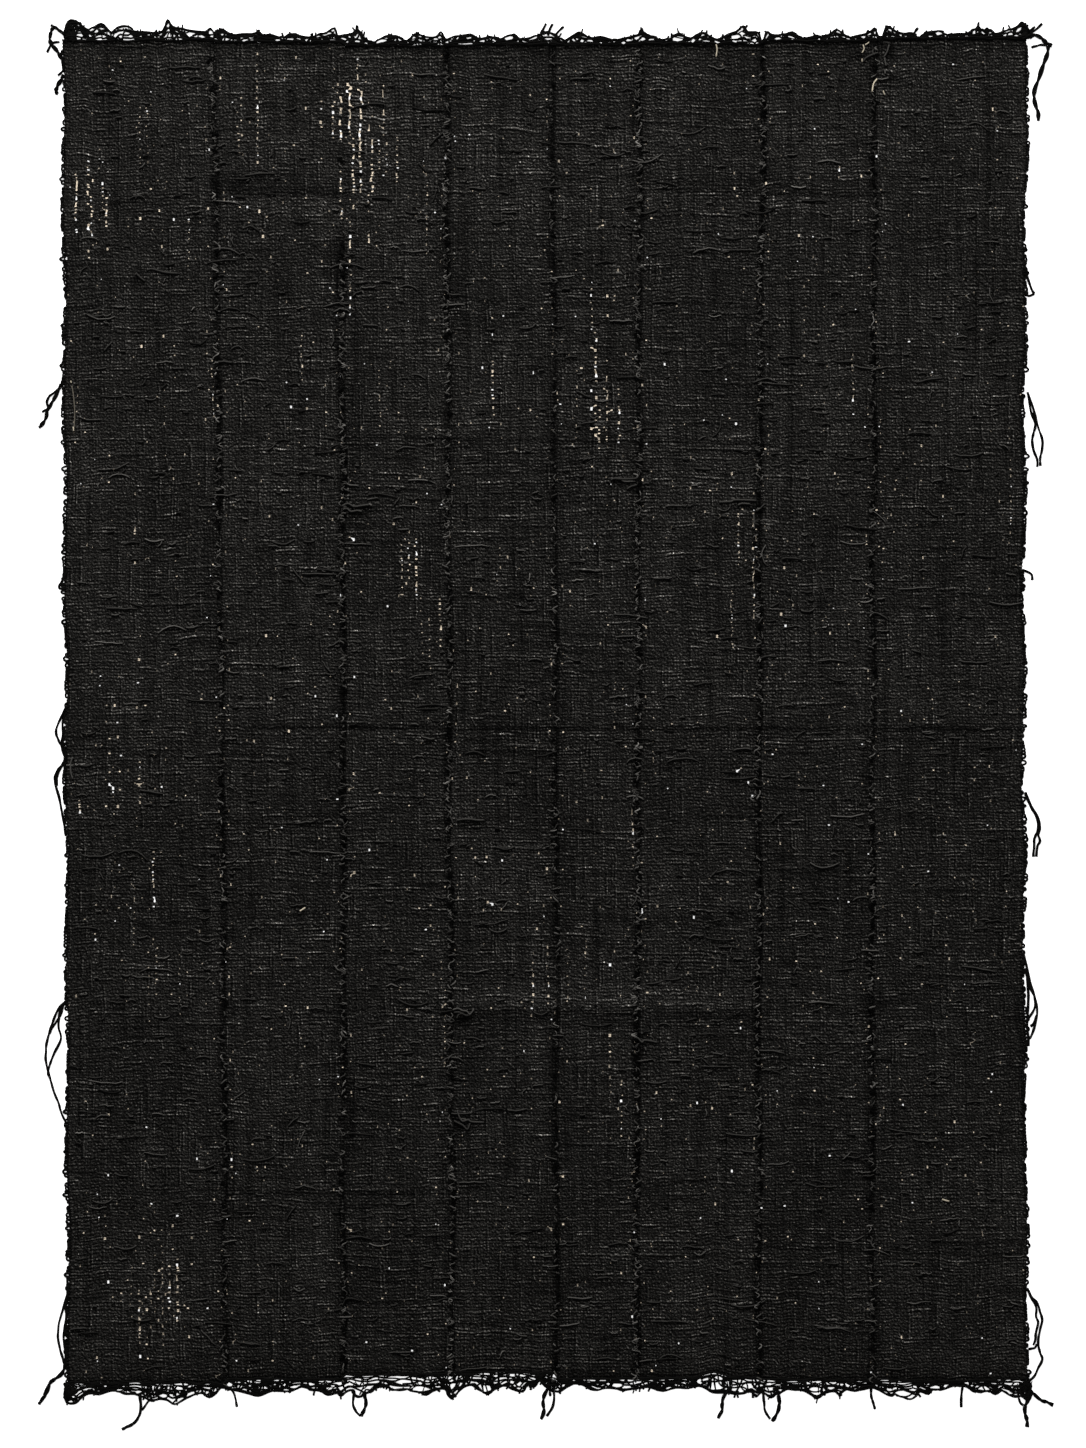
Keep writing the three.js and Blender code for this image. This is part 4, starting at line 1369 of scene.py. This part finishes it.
def weave_strip(number):
    """Weave one strip as an open sheet, with a row of points on each weft and one between each two."""
    weave = Weave(number)
    height = weave.relief()
    tone = weave.tone()
    open_faces, bare_faces = weave.pinholes()
    bm = bmesh.new()
    bmesh.ops.create_grid(bm, x_segments=weave.columns - 1, y_segments=weave.rows - 1, size=1)
    tone_layer = bm.verts.layers.float.new("tone")
    weave_layer = bm.verts.layers.float_vector.new("weave")
    bare_layer = bm.faces.layers.float.new("bare")
    if len(bm.verts) != weave.rows * weave.columns:
        raise RuntimeError(f"strip_{number}: the grid has {len(bm.verts)} points")
    bm.verts.index_update()
    places = np.stack([weave.x, weave.y, height], axis=-1).reshape(-1, 3) * MM
    for vert, place, light in zip(bm.verts, places.tolist(), tone.ravel()):
        row, column = divmod(vert.index, weave.columns)
        vert.co = place
        vert[tone_layer] = light
        vert[weave_layer] = (column * WARPS_PER_COLUMN, row / 2, number)
    bm.faces.ensure_lookup_table()
    for index in np.flatnonzero(bare_faces.ravel()):
        bm.faces[index][bare_layer] = bare_faces.flat[index]
    worn_through = [bm.faces[index] for index in np.flatnonzero(open_faces.ravel())]
    bmesh.ops.delete(bm, geom=worn_through, context="FACES")
    mesh = bpy.data.meshes.new(f"woven_strip_{number}")
    bm.to_mesh(mesh)
    bm.free()
    mesh.shade_smooth()
    mesh.materials.append(dyed_cloth_material())
    piece = put_in_scene(f"woven_strip_{number}", mesh)
    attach(piece, "root")
    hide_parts(f"strip_{number}")


def cloth_end(x, upper):
    """Where the cloth ends at x, as the strip there does."""
    ends = [ends.upper - UPPER_TRIM if upper else ends.lower + LOWER_TRIM for ends in STRIP_ENDS]
    borders = [(edge.upper if upper else edge.lower) for edge in LONG_EDGES]
    which = np.clip(np.searchsorted(borders, x) - 1, 0, STRIP_COUNT - 1)
    end = np.asarray(ends, float)[which]
    if upper:
        return end
    return end + drawn_up(x)


def sew_seam(number):
    """Whip stitches over a strip's right seam: thin curls of yarn, no two alike, and dark painted shadows
    among them.
    """
    rng = np.random.default_rng(SEAM_SEED + number)
    edge = LONG_EDGES[number]
    pitch = in_mm(sizes().stitch_pitch) / SEAM_FULLNESS[number - 1]
    reach = in_mm(sizes().stitch_width)
    radius = in_mm(sizes().stitch_yarn) / 2
    turn = np.linspace(0, 1, STITCH_POINTS)
    strands = []
    y = min(STRIP_ENDS[number - 1].lower, STRIP_ENDS[number].lower) + SEAM_START
    top = min(STRIP_ENDS[number - 1].upper, STRIP_ENDS[number].upper) - SEAM_STOP
    while y < top:
        middle = float(edge_at(edge, y)) + rng.normal(*STITCH_OFFSET)
        half = 0.5 * reach * rng.uniform(*STITCH_REACH) * rng.choice((-1, 1))
        rise = rng.uniform(*STITCH_RISE)
        light = rng.random() < LIGHT_STITCHES
        swing = 2 * np.pi * rng.uniform(*STITCH_TURN) * turn + rng.uniform(0, 2 * np.pi)
        x = middle + half * np.sin(swing) + rng.normal(0, STITCH_JITTER, STITCH_POINTS)
        run = y + rise * (turn - 0.5) + rng.normal(0, STITCH_JITTER, STITCH_POINTS)
        arch = np.sin(np.pi * turn) ** STITCH_BLUNTNESS
        height = FACE_HEIGHT + arch * rng.uniform(*STITCH_ARCH) + fold_lift(x, run)
        height = height + LIGHT_STITCH_LIFT * light
        thick = radius * rng.uniform(*STITCH_THICKNESS) * (1 - STITCH_TAPER + STITCH_TAPER * arch)
        # Dark stitches are painted shadows; the lit ones are lightened as a painted highlight
        if not light:
            thick = thick * STITCH_SHADOW_THICKNESS
        tone = np.exp(rng.normal(*STITCH_TONE)) if light else SHADOW_TONE
        strands.append(Strand(np.column_stack([x, run, height]), thick, tone))
        step = STITCH_LEAST_STEP + rng.exponential(STITCH_STEP)
        y += pitch * step / float(seam_share(number, y))
    spin_yarn(f"seam_{number}", strands, dyed_yarn_material(), FLAT_YARN)


def loop_selvedge(name, edge, outward, number):
    """The small loops of weft that turn back along an outer edge."""
    rng = np.random.default_rng(SELVEDGE_SEED + number)
    pitch = in_mm(sizes().weft_pitch)
    strip = STRIP_ENDS[0] if outward < 0 else STRIP_ENDS[-1]
    count = int((strip.upper - strip.lower - 2 * LOOP_START) / pitch)
    y = strip.lower + LOOP_START + pitch * np.arange(count)
    sway = line_noise(rng, count, LOOP_CELL)
    strands = []
    for place, turn in zip(y, sway):
        if rng.random() < LOOP_MISSING:
            continue
        edge_x = float(edge_at(edge, place))
        out = max(LOOP_LEAST, LOOP_OUT + LOOP_WAVER * turn + rng.normal(0, LOOP_JITTER))
        if rng.random() < LONG_LOOPS:
            out += rng.uniform(*LONG_LOOP_OUT)
        half = pitch * rng.uniform(*LOOP_SPAN)
        points = [
            (edge_x - outward * LOOP_INSIDE, place - half, 1.5),
            (edge_x + outward * 0.5 * out, place - 0.8 * half, 1.1),
            (edge_x + outward * out, place, 1.0),
            (edge_x + outward * 0.5 * out, place + 0.8 * half, 1.2),
            (edge_x - outward * LOOP_INSIDE, place + half, 1.6),
        ]
        thick = rng.uniform(*LOOP_THICKNESS)
        strands.append(Strand(smooth_path(points, 2), thick, rng.uniform(*LOOP_TONE)))
    spin_yarn(name, strands, dyed_yarn_material())


def open_gaps(rng, seen, outline, upper):
    """The openings of a fringe in millimetres: those that show clearly, and small ones between them."""
    gaps = []
    for opening in seen:
        x, y = on_cloth(opening.px, opening.py)
        tall = opening.half_height * MM_PER_PX
        side = 1 if upper else -1
        end = float(cloth_end(x, upper))
        y = end + side * max(side * (y - end), tall + END_BAND)
        gaps.append(Opening(x, y, opening.half_width * MM_PER_PX, tall, opening.tilt))
    count = STREWN_OPENINGS[upper]
    step = (outline[-1, 0] - outline[0, 0] - 2 * STREWN_MARGIN) / count
    strewn = np.arange(count) + rng.uniform(-STREWN_JITTER, STREWN_JITTER, count)
    for x in outline[0, 0] + STREWN_MARGIN + step * strewn:
        if any(abs(x - gap.px) < gap.half_width + STREWN_CLEARANCE for gap in gaps[: len(seen)]):
            continue
        end = float(cloth_end(x, upper))
        room = np.interp(x, outline[:, 0], outline[:, 1]) - end
        y = end + room * rng.uniform(*STREWN_DEPTH)
        wide = rng.uniform(*STREWN_WIDTH)
        tall = min(rng.uniform(*STREWN_HEIGHT), STREWN_ROOM[upper] * abs(room))
        gaps.append(Opening(x, y, wide, tall, rng.normal(0, STREWN_TILT[upper])))
    return gaps


def clear_of(flat, gaps, margin):
    """Push the points of a strand out of the openings, and a margin more."""
    low = flat[:, 0].min()
    high = flat[:, 0].max()
    for gap in gaps:
        if gap.px + OPENING_REACH < low or gap.px - OPENING_REACH > high:
            continue
        c = math.cos(gap.tilt)
        s = math.sin(gap.tilt)
        turn = np.array([[c, -s], [s, c]])
        size = np.array([gap.half_width + margin, gap.half_height + margin])
        local = (flat - (gap.px, gap.py)) @ turn / size
        far = np.clip(np.hypot(local[:, 0], local[:, 1]), OPENING_MIDDLE, 1)
        flat = (gap.px, gap.py) + (local / far[:, None] * size) @ turn.T
    return flat


def knot_fringe(name, edge_strand, seen, upper, node):
    """The looped fringe at one end: outer strands and tangled yarn, drawn apart into openings."""
    rng = np.random.default_rng(FRINGE_SEED + upper)
    side = 1 if upper else -1
    radius = in_mm(sizes().fringe_yarn) / 2
    outline = np.array([on_cloth(px, py) for px, py in edge_strand])
    left = outline[0, 0]
    right = outline[-1, 0]
    gaps = open_gaps(rng, seen, outline, upper)
    strands = []

    def between(x, share):
        """A place beyond the cloth's end at x, so much of the way to the outer strand."""
        end = cloth_end(x, upper)
        return end + share * (np.interp(x, outline[:, 0], outline[:, 1]) - end)

    def lay(route, steps):
        """Lay a strand along the route, clear of the openings."""
        thick = radius * rng.uniform(*STRAND_THICKNESS)
        flat = clear_of(smooth_path(route, steps), gaps, STRAND_CLEARANCE * thick)
        lifted = STRAND_HEIGHT + STRAND_OVERLAP * rng.random()
        height = lifted + rippled(rng, len(flat), STRAND_RIPPLE)
        strands.append(Strand(np.column_stack([flat, height]), thick, rng.uniform(*STRAND_TONE)))

    for shake in OUTER_SHAKES:
        lay(outline + rng.normal(0, 1, outline.shape) * shake, 3)
    along = np.arange(left, right, FRINGE_STEP)
    for level in UPPER_LEVELS if upper else LOWER_LEVELS:
        waver = by_strength(LEVEL_WAVER, abs(level)) * line_noise(rng, len(along), LEVEL_CELL)
        lay(np.column_stack([along, between(along, np.clip(level + waver, *LEVEL_BOUNDS))]), 2)
    for start in rng.uniform(left, right - TANGLE_ROOM, FRINGE_TANGLES):
        count = rng.integers(*TANGLE_POINTS)
        x = np.clip(start + np.cumsum(rng.normal(*TANGLE_STEP, count)), left, right)
        lay(np.column_stack([x, between(x, rng.uniform(*TANGLE_SHARE, count))]), 2)
    for corner, inward in ((left, 1), (right, -1)):
        for _ in range(CORNER_STRANDS):
            x = corner + inward * rng.uniform(0, CORNER_WIDTH, CORNER_POINTS)
            lay(np.column_stack([x, between(x, rng.uniform(*CORNER_SHARE, CORNER_POINTS))]), 3)
    for start in rng.uniform(left, right - ARCH_ROOM, FRINGE_ARCHES):
        width = rng.uniform(*ARCH_WIDTH)
        x = start + width * ARCH_STATIONS + rng.normal(0, ARCH_JITTER, len(ARCH_STATIONS))
        share = rng.uniform(*ARCH_HEIGHT) * ARCH_RISE
        lay(np.column_stack([x, between(x, share)]), 3)
    follow = smooth_path(outline, 4)
    for spot in follow[rng.integers(0, len(follow), FRINGE_ENDS[upper])]:
        away = np.array([rng.normal(0, END_LEAN), side * rng.choice(END_LENGTHS, p=END_CHANCES)])
        tip = spot + away + rng.normal(0, END_JITTER, 2)
        lies = np.array([spot - 0.8 * away, spot + 0.3 * away, tip])
        lay(lies, 2)
    piece = spin_yarn(name, strands, dyed_yarn_material())
    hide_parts(node)


def hang_threads(name):
    """The single and doubled threads that have worked loose along the edges."""
    rng = np.random.default_rng(LOOSE_SEED)
    radius = in_mm(sizes().loose_yarn) / 2
    strands = []
    for thread in LOOSE_THREADS:
        route = np.array([on_cloth(px, py) for px, py in thread.route])
        for strand in range(thread.strands):
            flat = smooth_path(route, LOOSE_STEPS)
            along = np.linspace(0, 1, len(flat))
            run = np.gradient(flat, axis=0)
            run /= np.linalg.norm(run, axis=1)[:, None]
            turns = len(route) * LOOSE_TURNS
            swing = np.cos(2 * np.pi * turns * along + np.pi * strand) * thread.spread * MM_PER_PX / 2
            flat = flat + np.column_stack([-run[:, 1], run[:, 0]]) * swing[:, None]
            flat += LOOSE_WANDER.size * lattice_noise(rng, len(flat), 2, LOOSE_WANDER.cell, 1)
            height = LOOSE_HEIGHT + LOOSE_OVERLAP * strand + rippled(rng, len(flat), LOOSE_RIPPLE)
            thick = radius * (1 + rippled(rng, len(flat), LOOSE_SLUBS))
            strands.append(Strand(np.column_stack([flat, height]), thick, rng.uniform(*LOOSE_TONE)))
    spin_yarn(name, strands, dyed_yarn_material())


def pull_snags(name):
    """Lengths of yarn that have been pulled up from the face, each with a painted shadow below it."""
    radius = in_mm(sizes().slack_yarn) / 2
    strands = []
    for snag in SNAGS:
        flat = smooth_path([on_cloth(px, py) for px, py in snag.route])
        height = FACE_HEIGHT + SNAG_LIFT + fold_lift(flat[:, 0], flat[:, 1])
        points = np.column_stack([flat, height])
        strands.append(Strand(points, SNAG_THICKNESS * radius, snag.tone))
        # A dark strand below each, as its painted shadow
        strands.append(Strand(points - SLACK_SHADE, SNAG_THICKNESS * radius, SHADOW_TONE))
    spin_yarn(name, strands, dyed_yarn_material())


def scatter_slack_yarn(name):
    """Lengths of weft slack of the weave all over the face, with a few warps, each with a painted shadow
    below.
    """
    rng = np.random.default_rng(SLACK_SEED)
    radius = in_mm(sizes().slack_yarn) / 2
    along = np.linspace(-0.5, 0.5, SLACK_POINTS)
    arch = 1 - 4 * along**2
    strands = []
    for _ in range(SLACK_WEFTS):
        x = rng.uniform(*SLACK_LEFT_RIGHT)
        y = rng.uniform(*SLACK_LOWER_UPPER)
        length = SLACK_LEAST_LENGTH + min(rng.exponential(SLACK_LENGTH), SLACK_MOST_LENGTH)
        heading = rng.normal(*SLACK_HEADING)
        if rng.random() < SLACK_WARPS:
            heading = rng.uniform(0, np.pi)
            length *= SLACK_WARP_LENGTH
        curl = rng.normal(*SLACK_CURL) * length * arch
        curl = curl + rng.normal(0, SLACK_JITTER, SLACK_POINTS)
        flat_x = x + length * along * np.cos(heading) - curl * np.sin(heading)
        flat_y = y + length * along * np.sin(heading) + curl * np.cos(heading)
        height = FACE_HEIGHT + SLACK_LIFT + SLACK_ARCH * arch + fold_lift(flat_x, flat_y)
        points = np.column_stack([flat_x, flat_y, height])
        thick = radius * rng.uniform(*SLACK_THICKNESS)
        strands.append(Strand(points, thick, np.exp(rng.normal(*SLACK_TONE))))
        # A dark strand below each, as its painted shadow
        strands.append(Strand(points - SLACK_SHADE, SLACK_SHADE_WIDTH * thick, SHADOW_TONE))
    spin_yarn(name, strands, dyed_yarn_material(), FLAT_YARN)


def lay_undyed_yarn(name):
    """The few lengths of undyed yarn."""
    rng = np.random.default_rng(UNDYED_SEED)
    radius = in_mm(sizes().slack_yarn) / 2
    strands = []
    for yarn in UNDYED_YARNS:
        flat = smooth_path([on_cloth(px, py) for px, py in yarn.route])
        height = FACE_HEIGHT + SNAG_LIFT + rippled(rng, len(flat), STRAND_RIPPLE)
        points = np.column_stack([flat, height + fold_lift(flat[:, 0], flat[:, 1])])
        strands.append(Strand(points, radius * rng.uniform(*UNDYED_THICKNESS), yarn.tone))
    spin_yarn(name, strands, undyed_yarn_material())


def shine(name, place, aim, size, energy):
    """A soft square light that shines from a place towards a point on the floor."""
    data = bpy.data.lights.new(name, "AREA")
    data.size = size
    data.energy = energy
    light = put_in_scene(name, data)
    light.location = place
    towards = np.array(aim) - np.array(place)
    tilt = math.atan2(math.hypot(towards[0], towards[1]), -towards[2])
    turn = math.atan2(towards[1], towards[0]) - math.pi / 2
    light.rotation_euler = (tilt, 0, turn)


class MUDCLOTH_OT_stage(bpy.types.Operator):
    """Lay the white floor, light it softly and look straight down on it"""

    bl_idname = "mud_cloth.stage"
    bl_label = "Stage"

    def execute(self, context):
        scene = context.scene
        scene.view_settings.view_transform = "Standard"
        bm = bmesh.new()
        bmesh.ops.create_grid(bm, x_segments=1, y_segments=1, size=FLOOR_HALF)
        mesh = bpy.data.meshes.new("floor")
        bm.to_mesh(mesh)
        bm.free()
        floor = put_in_scene("floor", mesh)
        white = bpy.data.materials.new("white_floor")
        white.use_nodes = True
        shader = white.node_tree.nodes["Principled BSDF"]
        shader.inputs["Base Color"].default_value = (*colours().floor, 1)
        shader.inputs["Roughness"].default_value = FLOOR_ROUGHNESS
        shader.inputs["Specular IOR Level"].default_value = FLOOR_SPECULAR
        shader.inputs["Emission Color"].default_value = WHITE
        shader.inputs["Emission Strength"].default_value = FLOOR_GLOW
        mesh.materials.append(white)
        world = bpy.data.worlds.new("soft_studio")
        world.use_nodes = True
        sky = world.node_tree.nodes["Background"]
        sky.inputs["Color"].default_value = WHITE
        sky.inputs["Strength"].default_value = WORLD_STRENGTH
        scene.world = world
        shine("soft_light_upper", LIGHT_PLACE, (0, 0, 0), LIGHT_SIZE, LIGHT_ENERGY)
        lens = bpy.data.cameras.new("camera_above")
        lens.lens = CAMERA_LENS
        lens.sensor_width = CAMERA_SENSOR
        camera = put_in_scene("camera_above", lens)
        x, y = on_cloth(CAMERA_AIM_PX, CAMERA_AIM_PY)
        away = IMAGE_HEIGHT_PX * MM_PER_PX * CAMERA_LENS / CAMERA_SENSOR
        camera.location = (x * MM, y * MM, away * MM)
        scene.camera = camera
        return {"FINISHED"}


class MUDCLOTH_OT_strips(bpy.types.Operator):
    """Weave the eight strips"""

    bl_idname = "mud_cloth.strips"
    bl_label = "Woven strips"

    def execute(self, context):
        for number in range(1, STRIP_COUNT + 1):
            weave_strip(number)
        return {"FINISHED"}


class MUDCLOTH_OT_seams(bpy.types.Operator):
    """Sew the seven seams with whip stitches"""

    bl_idname = "mud_cloth.seams"
    bl_label = "Seams"

    def execute(self, context):
        for number in range(1, STRIP_COUNT):
            sew_seam(number)
        return {"FINISHED"}


class MUDCLOTH_OT_selvedges(bpy.types.Operator):
    """Turn the weft back in small loops along both outer edges"""

    bl_idname = "mud_cloth.selvedges"
    bl_label = "Selvedges"

    def execute(self, context):
        loop_selvedge("selvedge_left", LONG_EDGES[0], -1, 1)
        loop_selvedge("selvedge_right", LONG_EDGES[-1], 1, 2)
        return {"FINISHED"}


class MUDCLOTH_OT_fringes(bpy.types.Operator):
    """Knot the looped fringes and hang the loose threads"""

    bl_idname = "mud_cloth.fringes"
    bl_label = "Fringes and loose threads"

    def execute(self, context):
        knot_fringe("looped_fringe_upper", UPPER_EDGE_STRAND, UPPER_OPENINGS, True, "fringe_top")
        knot_fringe("looped_fringe_lower", LOWER_EDGE_STRAND, LOWER_OPENINGS, False, "fringe_bottom")
        hang_threads("loose_threads")
        return {"FINISHED"}


class MUDCLOTH_OT_face_yarns(bpy.types.Operator):
    """Lay the snags, the slack wefts and the undyed yarn on the face"""

    bl_idname = "mud_cloth.face_yarns"
    bl_label = "Yarns on the face"

    def execute(self, context):
        pull_snags("snags")
        scatter_slack_yarn("slack_wefts")
        lay_undyed_yarn("undyed_yarns")
        return {"FINISHED"}


class MUDCLOTH_PT_panel(bpy.types.Panel):
    """Settings and steps of the mud cloth"""

    bl_idname = "MUDCLOTH_PT_panel"
    bl_label = "Mud cloth"
    bl_space_type = "VIEW_3D"
    bl_region_type = "UI"
    bl_category = "Mud cloth"

    def draw(self, context):
        column = self.layout.column()
        for group in (sizes(), colours()):
            for name in group.__annotations__:
                column.prop(group, name)
        for step in STEPS:
            column.operator(step.bl_idname)


STEPS = (
    MUDCLOTH_OT_stage,
    MUDCLOTH_OT_strips,
    MUDCLOTH_OT_seams,
    MUDCLOTH_OT_selvedges,
    MUDCLOTH_OT_fringes,
    MUDCLOTH_OT_face_yarns,
)
CLASSES = (ClothSizes, ClothColours, *STEPS, MUDCLOTH_PT_panel)


def register():
    """Add the cloth's settings, steps and panel to Blender."""
    for cls in CLASSES:
        bpy.utils.register_class(cls)
    bpy.types.Scene.mud_cloth_sizes = bpy.props.PointerProperty(type=ClothSizes)
    bpy.types.Scene.mud_cloth_colours = bpy.props.PointerProperty(type=ClothColours)


def unregister():
    """Take them out again."""
    del bpy.types.Scene.mud_cloth_colours
    del bpy.types.Scene.mud_cloth_sizes
    for cls in reversed(CLASSES):
        bpy.utils.unregister_class(cls)


# What goes with each strip, besides the seam on its right
STRIP_TRIMMINGS = {
    1: ("selvedge_left", "loose_threads"),
    4: ("looped_fringe_upper", "snags", "slack_wefts"),
    5: ("looped_fringe_lower", "undyed_yarns"),
    8: ("selvedge_right",),
}


def declare_sheets():
    """Gather the pieces that go with each strip, besides its seam; nothing is done with them."""
    for number in range(1, STRIP_COUNT + 1):
        trimmings = list(STRIP_TRIMMINGS.get(number, ()))
        if number < STRIP_COUNT:
            trimmings.append(f"seam_{number}")


def main():
    """Build the cloth and its stage."""
    register()
    bpy.ops.mud_cloth.stage()
    bpy.ops.mud_cloth.strips()
    bpy.ops.mud_cloth.seams()
    bpy.ops.mud_cloth.selvedges()
    bpy.ops.mud_cloth.fringes()
    bpy.ops.mud_cloth.face_yarns()
    declare_sheets()


if __name__ == "__main__":
    main()
